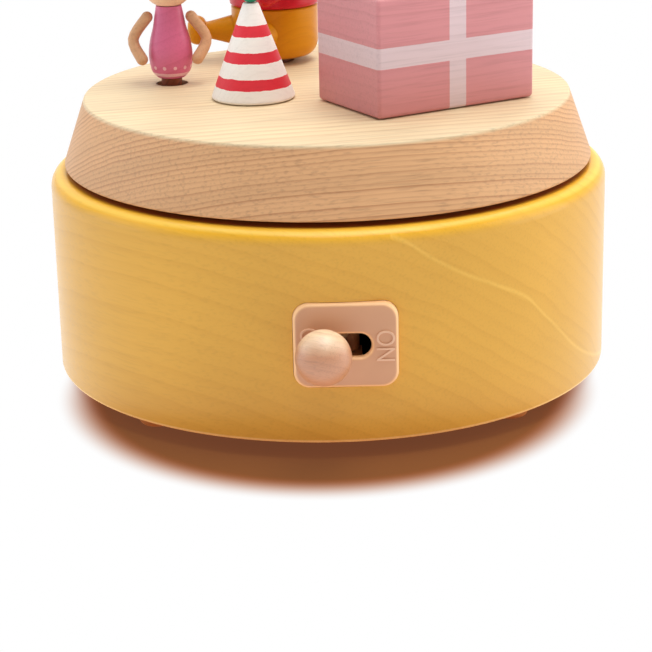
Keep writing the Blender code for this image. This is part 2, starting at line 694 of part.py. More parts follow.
def add_barrel(movement_stage):
    """The spring barrel with its crown of teeth, its cover and the mainspring."""
    inner_r = BARREL_R - BARREL_WALL
    crown_in_r = CROWN_R - CROWN_W / 2
    crown_out_r = CROWN_R + CROWN_W / 2
    sectors = 2 * CROWN_TEETH
    profile = [(0, BARREL_TOP_Z), (crown_in_r, BARREL_TOP_Z), (crown_out_r, BARREL_TOP_Z),
               (BARREL_R, BARREL_Z), (inner_r, BARREL_Z), (inner_r, BARREL_TOP_Z - BARREL_TOP_T),
               (0, BARREL_TOP_Z - BARREL_TOP_T)]
    mesh = bpy.data.meshes.new("spring_barrel")
    bm = bmesh.new()
    verts = [bm.verts.new((r, 0, z)) for r, z in profile]
    edges = [bm.edges.new(pair) for pair in zip(verts, verts[1:])]
    bmesh.ops.spin(bm, geom=verts + edges, axis=(0, 0, 1), cent=(0, 0, 0), steps=sectors, angle=2 * pi,
                   use_merge=True)
    bmesh.ops.remove_doubles(bm, verts=bm.verts, dist=MERGE)
    bmesh.ops.recalc_face_normals(bm, faces=bm.faces)
    crown = []
    for face in bm.faces:
        middle = face.calc_center_median()
        on_ring = crown_in_r - CLEAR < Vector(middle[:2]).length < crown_out_r
        if on_ring and abs(middle.z - BARREL_TOP_Z) < MERGE:
            sector = int((atan2(middle.y, middle.x) % (2 * pi)) / (2 * pi / sectors))
            if sector % 2 == 1:
                crown.append(face)
    raised = bmesh.ops.extrude_discrete_faces(bm, faces=crown)["faces"]
    for face in raised:
        bmesh.ops.translate(bm, vec=(0, 0, CROWN_TOOTH_H), verts=face.verts)
        middle = face.calc_center_median()
        along = Vector((-middle.y, middle.x, 0)).normalized()
        for vert in face.verts:
            side = (vert.co - middle).dot(along)
            vert.co -= along * side * (1 - CROWN_TIP_SHARE)
    bm.to_mesh(mesh)
    bm.free()
    half_sector = pi / sectors
    barrel = place("spring_barrel", mesh, "brass", movement_stage, rotation=(0, 0, -half_sector))
    smooth(barrel)

    cover_z = BARREL_Z + CLEAR
    ring = [(ARBOR_R + CLEAR, cover_z + COVER_T), (inner_r - CLEAR, cover_z + COVER_T),
            (inner_r - CLEAR, cover_z), (ARBOR_R + CLEAR, cover_z)]
    turned("barrel_cover", ring, FINE_SIDES, "brass", movement_stage, ring=True)

    spring_z = cover_z + COVER_T + CLEAR
    spring_h = BARREL_TOP_Z - BARREL_TOP_T - CLEAR - spring_z
    first_r = ARBOR_R + CLEAR + SPRING_T / 2
    last_r = inner_r - CLEAR - SPRING_T / 2
    count = SPRING_TURNS * SPRING_POINTS
    inside = []
    outside = []
    for i in range(count + 1):
        r = first_r + (last_r - first_r) * i / count
        a = 2 * pi * SPRING_TURNS * i / count
        inside.append(((r - SPRING_T / 2) * cos(a), (r - SPRING_T / 2) * sin(a)))
        outside.append(((r + SPRING_T / 2) * cos(a), (r + SPRING_T / 2) * sin(a)))
    strip = outline_mesh("mainspring", [outside + inside[::-1]], spring_h)
    place("mainspring", strip, "steel", movement_stage, (0, 0, spring_z))


def add_bed(movement, bed_holes):
    """The bed plate with the comb's land and the two bearing walls, cast in one."""
    mesh = outline_mesh("bed_plate", [BED_CORNERS, circle(ARBOR_R + CLEAR, ROD_SIDES)], BED_T)
    bed = place("bed_plate", mesh, "cast zinc", movement, (0, 0, BED_Z))
    base_z = BED_TOP_Z - CASTING_JOIN

    def standing(name, x0, x1, y0, y1, top):
        size = (x1 - x0, y1 - y0, top - base_z)
        centre = ((x0 + x1) / 2, (y0 + y1) / 2, (base_z + top) / 2)
        piece = place(name, block_mesh(name, size, centre), None, movement)
        combine(bed, piece, "UNION")

    wall_top = CYLINDER_Z + BEARING_OVER
    standing("left_bearing", LEFT_BEARING_X, LEFT_BEARING_X + BEARING_T, -BEARING_W / 2, BEARING_W / 2,
             wall_top)
    standing("right_bearing", RIGHT_BEARING_X, RIGHT_BEARING_X + BEARING_T, GOVERNOR_Y - BEARING_W / 2,
             BEARING_W / 2, wall_top)
    comb_end = CYLINDER_X + CYLINDER_L + COMB_SIDE
    standing("comb_land", CYLINDER_X - COMB_SIDE, comb_end, COMB_BASE_Y + LAND_BACK,
             COMB_BASE_Y + COMB_BASE_L, CYLINDER_Z - COMB_T / 2 - SEAT)
    bore_x = LEFT_BEARING_X - CUT_OVER
    bore_l = RIGHT_BEARING_X + BEARING_T + CUT_OVER - bore_x
    short_l = BEARING_T + DRIVE_W + 2 * CUT_OVER
    bores = [("axle_bore", 0, bore_x, bore_l), ("governor_bore", GOVERNOR_Y, DRIVE_X, short_l)]
    for name, y, start, length in bores:
        bore = place(name, rod_mesh(name, AXLE_R + CLEAR, length, BORE_SIDES, "X"), None, movement,
                     (start, y, CYLINDER_Z))
        combine(bed, bore, "DIFFERENCE")
    for hole in bed_holes:
        combine(bed, hole, "DIFFERENCE")
    return bed


def add_comb(movement, bed):
    """The comb: one steel plate with eighteen teeth, the low notes longer, and its two screws."""
    width = CYLINDER_L + 2 * COMB_SIDE
    back = COMB_LONG_TOOTH + COMB_BASE_L
    outline = [(0, back), (0, 0)]
    for note in range(NOTES):
        left = COMB_SIDE + note * NOTE_PITCH + COMB_SLIT / 2
        right = left + NOTE_PITCH - COMB_SLIT
        if note == 0:
            outline[1] = (0, COMB_LONG_TOOTH)
            outline.append((left, COMB_LONG_TOOTH))
        outline.append((left, 0))
        outline.append((right, 0))
        tooth_l = COMB_LONG_TOOTH + (COMB_SHORT_TOOTH - COMB_LONG_TOOTH) * (note + 0.5) / NOTES
        if note < NOTES - 1:
            outline.append((right, tooth_l))
            outline.append((right + COMB_SLIT, tooth_l))
        else:
            outline.append((right, tooth_l))
            outline.append((width, tooth_l))
    outline.append((width, back))
    screw_y = COMB_LONG_TOOTH + COMB_BASE_L / 2
    screw_xs = [width / 4, width * 3 / 4]
    holes = [circle(SCREW_SHANK_R + CLEAR, BORE_SIDES, x, screw_y) for x in screw_xs]
    place("comb", outline_mesh("comb", [outline] + holes, COMB_T), "steel", movement,
          (CYLINDER_X - COMB_SIDE, COMB_TIP_Y, CYLINDER_Z - COMB_T / 2))
    head_z = CYLINDER_Z + COMB_T / 2 + SEAT
    for i, x in enumerate(screw_xs):
        spot = (CYLINDER_X - COMB_SIDE + x, COMB_TIP_Y + screw_y, head_z)
        profile = [(0, SCREW_HEAD_T), (SCREW_HEAD_R, SCREW_HEAD_T), (SCREW_HEAD_R, 0), (SCREW_SHANK_R, 0),
                   (SCREW_SHANK_R, -COMB_SCREW_L), (0, -COMB_SCREW_L)]
        turned(f"comb_screw_{i + 1}", profile, BORE_SIDES, "brass", movement, spot)
        hole = place(f"comb_screw_hole_{i + 1}",
                     rod_mesh(f"comb_screw_hole_{i + 1}", SCREW_SHANK_R + CLEAR, COMB_SCREW_L, BORE_SIDES),
                     None, movement, (spot[0], spot[1], head_z - COMB_SCREW_L - CLEAR))
        combine(bed, hole, "DIFFERENCE")


def add_cylinder(cylinder):
    """The pinned cylinder on its axle, its pinion over the crown and its drive gear."""
    across = (0, pi / 2, 0)
    bore_r = AXLE_R + CLEAR
    profile = [(CYLINDER_R, CYLINDER_L - note * NOTE_PITCH) for note in range(NOTES + 1)]
    profile += [(bore_r, 0), (bore_r, CYLINDER_L)]
    mesh = bpy.data.meshes.new("pin_cylinder")
    bm = bmesh.new()
    verts = [bm.verts.new((r, 0, z)) for r, z in profile]
    edges = [bm.edges.new(pair) for pair in zip(verts, verts[1:] + verts[:1])]
    bmesh.ops.spin(bm, geom=verts + edges, axis=(0, 0, 1), cent=(0, 0, 0), steps=CYLINDER_SECTORS,
                   angle=2 * pi, use_merge=True)
    bmesh.ops.remove_doubles(bm, verts=bm.verts, dist=MERGE)
    bmesh.ops.recalc_face_normals(bm, faces=bm.faces)
    pins = []
    for face in bm.faces:
        middle = face.calc_center_median()
        if Vector(middle[:2]).length < (CYLINDER_R + bore_r) / 2:
            continue
        sector = int((atan2(middle.y, middle.x) % (2 * pi)) / (2 * pi / CYLINDER_SECTORS))
        note = int(middle.z / NOTE_PITCH)
        tune = [(note * TUNE_STEP + k * (PIN_STEP + note)) % CYLINDER_SECTORS for k in range(PINS_PER_NOTE)]
        if sector in tune:
            pins.append(face)
    bmesh.ops.inset_individual(bm, faces=pins, thickness=PIN_INSET, use_even_offset=True)
    bmesh.ops.inset_individual(bm, faces=pins, thickness=PIN_TAPER, depth=PIN_H, use_even_offset=True)
    bm.to_mesh(mesh)
    bm.free()
    smooth(place("pin_cylinder", mesh, "brass", cylinder, (CYLINDER_X, 0, 0), across), 30)

    axle_x = CROWN_R - PINION_W / 2 - AXLE_STUB
    axle_l = RIGHT_BEARING_X + BEARING_T - axle_x
    place("cylinder_axle", rod_mesh("cylinder_axle", AXLE_R, axle_l, ROD_SIDES, "X"), "steel", cylinder,
          (axle_x, 0, 0))
    pinion = [gear_outline(PINION_TEETH, PINION_MODULE, PINION_BACKLASH), circle(bore_r, BORE_SIDES)]
    place("cylinder_pinion", outline_mesh("cylinder_pinion", pinion, PINION_W), "brass", cylinder,
          (CROWN_R - PINION_W / 2, 0, 0), across)
    drive = [gear_outline(DRIVE_TEETH, DRIVE_MODULE, DRIVE_BACKLASH, -pi / 2, 2), circle(bore_r, BORE_SIDES)]
    place("cylinder_gear", outline_mesh("cylinder_gear", drive, DRIVE_W), "brass", cylinder,
          (DRIVE_X, 0, 0), across)


def add_governor(movement, governor):
    """The governor: a pinion on an axle that runs into the closed case of the worm and fan."""
    first = meshing_tooth(DRIVE_TEETH, GOVERNOR_TEETH, -pi / 2, -pi / 2)
    pinion = gear_outline(GOVERNOR_TEETH, DRIVE_MODULE, DRIVE_BACKLASH, first, 2)
    wheel = place("governor_pinion", outline_mesh("governor_pinion", [pinion], DRIVE_W), "gear plastic",
                  governor, (DRIVE_X, 0, 0), (0, pi / 2, 0))
    axle_x = GOVERNOR_CASE_X + GOVERNOR_CASE_L - GOVERNOR_AXLE_IN_CASE
    axle_l = RIGHT_BEARING_X + BEARING_T - axle_x
    axle = place("governor_axle_join", rod_mesh("governor_axle_join", AXLE_R, axle_l, ROD_SIDES, "X"), None,
                 governor, (axle_x, 0, 0))
    combine(wheel, axle, "UNION")

    centre = (GOVERNOR_CASE_X + GOVERNOR_CASE_L / 2, GOVERNOR_CASE_Y + GOVERNOR_CASE_W / 2,
              BED_TOP_Z + SEAT + GOVERNOR_CASE_H / 2)
    case = place("governor_case",
                 block_mesh("governor_case", (GOVERNOR_CASE_L, GOVERNOR_CASE_W, GOVERNOR_CASE_H)),
                 "dark plastic", movement, centre)
    round_edges(case, GOVERNOR_CASE_EDGE, 1)
    bore = place("case_bore", rod_mesh("case_bore", AXLE_R + CLEAR, axle_l, BORE_SIDES, "X"), None,
                 movement, (axle_x - CLEAR, GOVERNOR_Y, CYLINDER_Z))
    combine(case, bore, "DIFFERENCE")


def add_switch(root, lever):
    """The plate with its slot and ears, the pin, the lever and the ball on its stem."""
    plate_outline = rounded_rectangle(PLATE_W, PLATE_H, PLATE_CORNER_R, 4)
    mesh = outline_mesh("switch_plate", [plate_outline, stadium(SLOT_L, SLOT_H, 6)], PLATE_T)
    back_y = PLATE_FRONT_Y + PLATE_T
    plate = place("switch_plate", mesh, "beige plastic", root, (PLATE_X, back_y, PLATE_Z), (pi / 2, 0, 0))
    round_edges(plate, PLATE_EDGE, 1)
    ear_l = PIVOT_BACK + LEVER_HUB_R - PLATE_T
    for name, side in (("upper_ear", 1), ("lower_ear", -1)):
        size = (EAR_W, ear_l + CASTING_JOIN, EAR_T)
        centre = (0, (ear_l - CASTING_JOIN) / 2, side * (EAR_GAP + EAR_T) / 2)
        ear = place(name, block_mesh(name, size, centre), None, root, (PLATE_X, back_y, PLATE_Z))
        combine(plate, ear, "UNION")
    pivot = (PLATE_X, PIVOT_Y, PLATE_Z)
    pin_l = EAR_GAP + 2 * EAR_T
    bore = place("pin_bore", rod_mesh("pin_bore", PIVOT_PIN_R + CLEAR, pin_l + 2 * CUT_OVER, ROD_SIDES),
                 None, root, (pivot[0], pivot[1], PLATE_Z - pin_l / 2 - CUT_OVER))
    combine(plate, bore, "DIFFERENCE")
    place("switch_pin", rod_mesh("switch_pin", PIVOT_PIN_R, pin_l, ROD_SIDES), "steel", root,
          (pivot[0], pivot[1], PLATE_Z - pin_l / 2))

    hub_h = EAR_GAP - 2 * CLEAR
    hub = place("switch_lever", rod_mesh("switch_lever", LEVER_HUB_R, hub_h, FINE_SIDES), "beige plastic",
                lever, (0, 0, -hub_h / 2))
    stem_l = LEVER_REACH - CLEAR
    stem = place("lever_stem", rod_mesh("lever_stem", LEVER_STEM_R, stem_l, ROD_SIDES, "-Y"), None, lever)
    combine(hub, stem, "UNION")
    finger_size = (LEVER_FINGER_W, LEVER_FINGER_L, LEVER_FINGER_W)
    finger = place("lever_finger", block_mesh("lever_finger", finger_size, (0, LEVER_FINGER_L / 2, 0)), None,
                   lever)
    combine(hub, finger, "UNION")
    mesh = rod_mesh("lever_bore", PIVOT_PIN_R + CLEAR, hub_h + 2 * CUT_OVER, ROD_SIDES)
    hub_bore = place("lever_bore", mesh, None, lever, (0, 0, -hub_h / 2 - CUT_OVER))
    combine(hub, hub_bore, "DIFFERENCE")
    ball = place("switch_ball", ball_mesh("switch_ball", BALL_R, 18, 10), "ball wood", lever,
                 (0, -LEVER_REACH, 0))
    socket = place("ball_socket", rod_mesh("ball_socket", LEVER_STEM_R + CLEAR, LEVER_REACH, ROD_SIDES, "-Y"),
                   None, lever)
    combine(ball, socket, "DIFFERENCE")
    smooth(ball, 50)


def add_key(key):
    """The winding key in its well and the arbor that it turns."""
    mesh = outline_mesh("winding_key", [stadium(KEY_SPAN, KEY_WING_H, 6)], KEY_WING_T)
    wings = place("winding_key", mesh, "steel", key,
                  (0, KEY_WING_T / 2, KEY_OFF_FLOOR + KEY_WING_H / 2), (pi / 2, 0, 0))
    hub = place("key_hub", rod_mesh("key_hub", KEY_HUB_R, KEY_HUB_H, FINE_SIDES), None, key,
                (0, 0, KEY_OFF_FLOOR))
    combine(wings, hub, "UNION")
    arbor_z = KEY_OFF_FLOOR + KEY_WEB
    bore = place("key_bore", rod_mesh("key_bore", ARBOR_R + CLEAR, KEY_HUB_H, ROD_SIDES), None, key,
                 (0, 0, arbor_z - CLEAR))
    combine(wings, bore, "DIFFERENCE")
    arbor_top = BARREL_TOP_Z - BARREL_TOP_T - CLEAR
    place("winding_arbor", rod_mesh("winding_arbor", ARBOR_R, arbor_top - arbor_z, ROD_SIDES), "steel", key,
          (0, 0, arbor_z))


def add_post_and_planet(which, doll, azimuth, post_r):
    """A doll's post through the stage, with the planet gear on its lower end."""
    first = meshing_tooth(SUN_TEETH, PLANET_TEETH, SMALL_AZIMUTH, azimuth)
    outline = gear_outline(PLANET_TEETH, SUN_MODULE, SUN_BACKLASH, first, 2)
    place(f"{which}_planet_gear",
          outline_mesh(f"{which}_planet_gear", [outline, circle(post_r + CLEAR, ROD_SIDES)], PLANET_T),
          "gear plastic", doll, (0, 0, PLANET_Z - STAGE_TOP_Z))
    top = POST_SHOW + POST_IN_DOLL
    bottom = PLANET_Z - STAGE_TOP_Z
    place(f"{which}_post", rod_mesh(f"{which}_post", post_r, top - bottom, FINE_SIDES), "post brown", doll,
          (0, 0, bottom))


def socket_under(piece, which, doll, post_r, bottom):
    """The blind hole in a doll's underside that its post goes into."""
    depth = POST_SHOW + POST_IN_DOLL + CLEAR - bottom
    mesh = rod_mesh(f"{which}_post_socket", post_r + CLEAR, depth + CUT_OVER, FINE_SIDES)
    hole = place(f"{which}_post_socket", mesh, None, doll, (0, 0, bottom - CUT_OVER))
    combine(piece, hole, "DIFFERENCE")


def limb(name, points, radii, kind, parent):
    """An arm or a leg: a round tube whose thickness follows its points, with domed ends."""
    curve = bpy.data.curves.new(name, "CURVE")
    curve.dimensions = "3D"
    curve.bevel_depth = 1.0
    curve.bevel_resolution = 3
    curve.use_fill_caps = True
    spline = curve.splines.new("POLY")
    spline.points.add(len(points) - 1)
    for point, place_at, radius in zip(spline.points, points, radii):
        point.co = (*place_at, 1)
        point.radius = radius
    return smooth(place(name, curve_mesh(name, curve), kind, parent), 60)


def arm_path(side, spots, radius):
    """Points and radii of an arm from (out, forward, up) spots, its two ends drawn in to a dome."""
    path = [Vector((side * out, -forward, up)) for out, forward, up in spots]
    points = []
    radii = []
    first = (path[1] - path[0]).normalized()
    last = (path[-1] - path[-2]).normalized()
    for share, inset in ((0.45, 0.95), (0.82, 0.6)):
        points.append(path[0] - first * radius * inset)
        radii.append(radius * share)
    for spot in path:
        points.append(spot)
        radii.append(radius)
    for share, inset in ((0.82, 0.6), (0.45, 0.95)):
        points.append(path[-1] + last * radius * inset)
        radii.append(radius * share)
    return points, radii


def hair_cap(name, head_r, thickness, parent, head_z):
    """A cap of hair over the top and back of a ball head; its flat facets clear the ball too."""
    facet = cos((pi / 2 - HAIR_LOW) / (2 * HAIR_BANDS)) * cos(pi / ROD_SIDES)
    inner = (head_r + CLEAR) / facet
    outer = inner + thickness
    profile = arc(0, 0, outer, pi / 2, HAIR_LOW, HAIR_BANDS) + arc(0, 0, inner, HAIR_LOW, pi / 2, HAIR_BANDS)
    profile[0] = (0, outer)
    profile[-1] = (0, inner)
    turned(name, profile, ROD_SIDES, "hair brown", parent, (0, 0, head_z), (HAIR_TILT, 0, 0))


def add_small_doll(doll):
    """The small doll: a turned dress on a post, a ball head with hair, and two arms."""
    bottom = POST_SHOW
    h = SMALL_BODY_H
    body = [(SMALL_HIP_R * across, bottom + h * up) for across, up in SMALL_BODY_SHAPE]
    profile = [(0, bottom + h), (SMALL_NECK_R, bottom + h)] + body + [(SMALL_FOOT_R, bottom), (0, bottom)]
    dress = turned("small_dress", profile, BODY_SIDES, "dress pink", doll)
    socket_under(dress, "small", doll, SMALL_POST_R, bottom)
    neck_z = bottom + h + SEAT
    head_z = neck_z + sqrt(SMALL_HEAD_R ** 2 - SMALL_NECK_R ** 2)
    head = place("small_head", ball_mesh("small_head", SMALL_HEAD_R, 14, 9), "doll wood", doll,
                 (0, 0, head_z))
    flatten_below(head, SMALL_HEAD_R, doll, (0, 0, neck_z))
    smooth(head, 60)
    hair_cap("small_hair", SMALL_HEAD_R, SMALL_HAIR_T, doll, head_z)
    for side, word in ((-1, "right"), (1, "left")):
        points, radii = arm_path(side, SMALL_ARM_BENDS, SMALL_ARM_R)
        limb(f"small_arm_{word}", points, radii, "doll wood", doll)


def add_large_doll(doll):
    """The large doll: seated, in trousers and a jumper, legs out in a V, round shoes."""
    bottom = LARGE_OFF_STAGE
    hem_z = bottom + LARGE_TROUSERS_H
    r = LARGE_BODY_R
    curve = [(r * across, bottom + LARGE_TROUSERS_H * up) for across, up in LARGE_SEAT_SHAPE]
    seat = [(0, hem_z), (r, hem_z)] + curve + [(LARGE_SEAT_R, bottom), (0, bottom)]
    trousers = turned("large_trousers", seat, BODY_SIDES, "mustard", doll)
    socket_under(trousers, "large", doll, LARGE_POST_R, bottom)
    low = hem_z + SEAT
    top = low + LARGE_JUMPER_H
    knit = [(r * across, low + LARGE_JUMPER_H * up) for across, up in LARGE_JUMPER_SHAPE]
    jumper = [(0, top), (LARGE_NECK_R, top)] + knit + [(0, low)]
    turned("large_jumper", jumper, BODY_SIDES, "red", doll)
    neck_z = top + SEAT
    head_z = neck_z + sqrt(LARGE_HEAD_R ** 2 - LARGE_NECK_R ** 2)
    head = place("large_head", ball_mesh("large_head", LARGE_HEAD_R, 16, 10), "doll wood", doll,
                 (0, 0, head_z))
    flatten_below(head, LARGE_HEAD_R, doll, (0, 0, neck_z))
    smooth(head, 60)
    hair_cap("large_hair", LARGE_HEAD_R, LARGE_HAIR_T, doll, head_z)

    for side, word in ((-1, "right"), (1, "left")):
        leg = frame_empty(f"{word}_leg_frame", doll, (0, 0, LARGE_LEG_Z), side * LARGE_LEG_SPREAD)
        lie = (pi / 2, 0, 0)
        start = r + CLEAR
        cone = [(0, LARGE_LEG_L), (LARGE_ANKLE_R, LARGE_LEG_L), (LARGE_HIP_R, 0), (0, 0)]
        hip_y = LARGE_LEG_SUNK - start
        trouser_leg = turned(f"large_leg_{word}", cone, ROD_SIDES, "mustard", leg, (0, hip_y, 0), lie)
        scoop = rod_mesh(f"{word}_leg_scoop", r + CLEAR, top, BOARD_STEPS)
        around = place(f"{word}_leg_scoop", scoop, None, doll)
        combine(trouser_leg, around, "DIFFERENCE")
        ankle = LARGE_LEG_L - hip_y
        round_toe = [(LARGE_SHOE_R * across, LARGE_SHOE_L * up) for across, up in SHOE_SHAPE]
        shoe = [(0, LARGE_SHOE_L)] + round_toe + [(0, 0)]
        turned(f"large_shoe_{word}", shoe, ROD_SIDES, "mustard", leg, (0, -(ankle + SEAT), 0), lie)
        points, radii = arm_path(side, LARGE_ARM_BENDS, LARGE_ARM_R)
        limb(f"large_arm_{word}", points, radii, "red", doll)


def build():
    clear_scene()
    root = frame_empty("drum_axis", None, (0, AXIS_Y, 0))
    movement = frame_empty("movement_frame", root, (0, 0, 0), MOVEMENT_TURN)
    stage = frame_empty("stage_turn", root)
    barrel = frame_empty("barrel_turn", root, (0, 0, 0), MOVEMENT_TURN)
    cylinder = frame_empty("cylinder_turn", movement, (0, 0, CYLINDER_Z))
    governor = frame_empty("governor_turn", movement, (0, GOVERNOR_Y, CYLINDER_Z))
    lever = frame_empty("lever_turn", root, (PLATE_X, PIVOT_Y, PLATE_Z), -LEVER_SWING / 2)
    key = frame_empty("key_turn", root, (0, 0, 0), KEY_TURN)
    small = frame_empty("small_doll_turn", stage,
                        (ORBIT_R * cos(SMALL_AZIMUTH), ORBIT_R * sin(SMALL_AZIMUTH), STAGE_TOP_Z))
    large = frame_empty("large_doll_turn", stage,
                        (ORBIT_R * cos(LARGE_AZIMUTH), ORBIT_R * sin(LARGE_AZIMUTH), STAGE_TOP_Z))
    large_pose = frame_empty("large_doll_facing", large, (0, 0, 0), LARGE_FACING + pi / 2)

    drum = add_drum(root)
    bed_holes = add_board(root, movement, drum)
    add_stage(stage)
    add_stage_toys(stage)
    add_sun_and_bush(root)
    add_output_shaft(stage)
    add_barrel(barrel)
    bed = add_bed(movement, bed_holes)
    add_comb(movement, bed)
    add_cylinder(cylinder)
    add_governor(movement, governor)
    add_switch(root, lever)
    add_key(key)
    add_post_and_planet("small", small, SMALL_AZIMUTH, SMALL_POST_R)
    add_post_and_planet("large", large, LARGE_AZIMUTH, LARGE_POST_R)
    add_small_doll(small)
    add_large_doll(large_pose)
    bpy.context.view_layer.update()


build()
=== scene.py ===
# %% [markdown]
# # A wind-up wooden music box, finished piece by piece
# The mechanical model comes first: a drum, a turning stage, two dolls on posts, a switch and a small
# movement inside. This lesson loads it as a fixed frame and gives it its looks. Turned wood is spun from
# a drawn profile, as on a lathe, flat pieces are extruded and bevelled, and every finish is a solid,
# three-dimensional one, so the grain runs through a piece as it does in real wood.

# %% Load the frame
from math import asin, cos, degrees, pi, radians, sin, sqrt

import bpy
from mathutils import Matrix, Vector


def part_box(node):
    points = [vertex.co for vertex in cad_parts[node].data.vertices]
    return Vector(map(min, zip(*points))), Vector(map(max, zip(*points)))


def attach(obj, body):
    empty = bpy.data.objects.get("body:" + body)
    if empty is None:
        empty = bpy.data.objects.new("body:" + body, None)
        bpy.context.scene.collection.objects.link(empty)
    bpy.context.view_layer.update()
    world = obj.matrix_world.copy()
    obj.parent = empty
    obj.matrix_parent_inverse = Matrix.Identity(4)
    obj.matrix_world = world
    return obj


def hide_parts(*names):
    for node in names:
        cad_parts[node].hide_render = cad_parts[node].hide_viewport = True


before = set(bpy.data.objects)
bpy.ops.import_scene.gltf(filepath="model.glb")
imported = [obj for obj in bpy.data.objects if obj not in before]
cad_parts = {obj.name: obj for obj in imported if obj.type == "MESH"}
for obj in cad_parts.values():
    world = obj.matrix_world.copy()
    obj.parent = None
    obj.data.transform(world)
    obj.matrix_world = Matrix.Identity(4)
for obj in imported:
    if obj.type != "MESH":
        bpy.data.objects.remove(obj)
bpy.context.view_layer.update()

# %% [markdown]
# ## Sizes
# Everything is in metres, so a millimetre is a thousandth. Places are read from the frame wherever it can
# give them: the middle of a turned node is its axis, so a piece that replaces it can't drift away.

# %% Sizes and places read from the frame
MM = 0.001
UP = Vector((0, 0, 1))


def middle(node):
    low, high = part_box(node)
    return (low + high) / 2


def floor_of(node):
    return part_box(node)[0].z


def top_of(node):
    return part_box(node)[1].z


def round_box(node):
    """The middle of a node's foot, its radius and its height."""
    low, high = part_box(node)
    return Vector(((low.x + high.x) / 2, (low.y + high.y) / 2, low.z)), (high.x - low.x) / 2, high.z - low.z


drum_axis = middle("drum_shell")
drum_axis.z = 0
drum_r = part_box("drum_shell")[1].x
drum_floor = floor_of("drum_shell")
rim_z = top_of("drum_shell")
stage_z = floor_of("stage_disc")
stage_top = top_of("stage_disc")
print(f"drum radius {drum_r / MM:.1f} mm, rim at {rim_z / MM:.1f} mm, stage top at {stage_top / MM:.1f} mm")

# %% [markdown]
# ## Working one piece at a time
# Blender's operators act on whatever is selected, so each piece starts with everything put down. A
# finished piece keeps its place in its mesh: its object stays at the origin, unturned and unscaled.

# %% Put down, combine and hand over
MERGE_WITHIN = 0.002 * MM
SHARP_FROM = 40


def put_down():
    """Leave edit mode and deselect everything."""
    if bpy.context.object and bpy.context.object.mode != "OBJECT":
        bpy.ops.object.mode_set(mode="OBJECT")
    bpy.ops.object.select_all(action="DESELECT")


def pick_up(piece):
    put_down()
    piece.select_set(True)
    bpy.context.view_layer.objects.active = piece


def edit_all(piece):
    """Open a piece in edit mode with all of it selected."""
    pick_up(piece)
    bpy.ops.object.mode_set(mode="EDIT")
    bpy.ops.mesh.select_all(action="SELECT")


def apply_modifier(piece, kind, **settings):
    """Add one modifier, set it and apply it."""
    pick_up(piece)
    modifier = piece.modifiers.new(kind.title(), kind)
    for key, value in settings.items():
        setattr(modifier, key, value)
    bpy.ops.object.modifier_apply(modifier=modifier.name)


def combine(piece, other, operation):
    apply_modifier(piece, "BOOLEAN", object=other, operation=operation, solver="EXACT")
    bpy.data.objects.remove(other, do_unlink=True)


def cut_away(piece, cutter):
    combine(piece, cutter, "DIFFERENCE")


def weld(piece, other):
    combine(piece, other, "UNION")


def round_off(piece, width, segments):
    apply_modifier(piece, "BEVEL", width=width, segments=segments, limit_method="ANGLE",
                   angle_limit=radians(SHARP_FROM), use_clamp_overlap=False)


def settle(piece):
    """Move a piece's place, turn and scale into its mesh."""
    pick_up(piece)
    bpy.ops.object.transform_apply(location=True, rotation=True, scale=True)


def merge_and_face_out(piece):
    edit_all(piece)
    bpy.ops.mesh.remove_doubles(threshold=MERGE_WITHIN)
    bpy.ops.mesh.normals_make_consistent(inside=False)
    put_down()


def hand_over(piece, finish, body, slot, *nodes, soft_edge=35):
    """Give a piece its finish and shading, tie it to its body, and let it stand for its CAD nodes."""
    pick_up(piece)
    bpy.ops.object.shade_smooth_by_angle(angle=radians(soft_edge))
    piece.data.materials.clear()
    piece.data.materials.append(finish)
    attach(piece, body)
    if nodes:
        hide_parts(*nodes)
    print(f"{piece.name}: {len(piece.data.polygons)} faces, rides on {body}")
    put_down()


# %% [markdown]
# ## A lathe
# Most of this toy is turned wood. A lathe piece is drawn as half an outline, point by point in edit mode:
# a small plane is merged to one point, and each extrude adds the next. Spin then carries the outline
# round the axis. A curve with a bevel or a Screw modifier would do too, but Spin is what a turner would
# recognise, and its result is plain quads.

# %% The lathe, the drill and the saw
ROUND_STEPS = 160
FINE_STEPS = 64


def bow(centre_r, centre_z, radius, start, end, count):
    """Points on an arc of the outline, from one angle to the other, in degrees."""
    angles = [radians(start + (end - start) * i / count) for i in range(count + 1)]
    return [(centre_r + radius * cos(a), centre_z + radius * sin(a)) for a in angles]


def flowing(points, count=6):
    """A smooth line through the points of an outline (Catmull-Rom)."""
    line = []
    last = len(points) - 1
    for i in range(last):
        before, start = points[max(i - 1, 0)], points[i]
        end, after = points[i + 1], points[min(i + 2, last)]
        for k in range(count):
            t = k / count
            line.append(tuple(0.5 * (2 * b + (c - a) * t + (2 * a - 5 * b + 4 * c - d) * t ** 2
                                     + (3 * b - a - 3 * c + d) * t ** 3)
                              for a, b, c, d in zip(before, start, end, after)))
    return line + [tuple(points[-1])]


def in_mm(*pairs):
    """Outline points or other pairs that are typed in millimetres."""
    return [(first * MM, second * MM) for first, second in pairs]


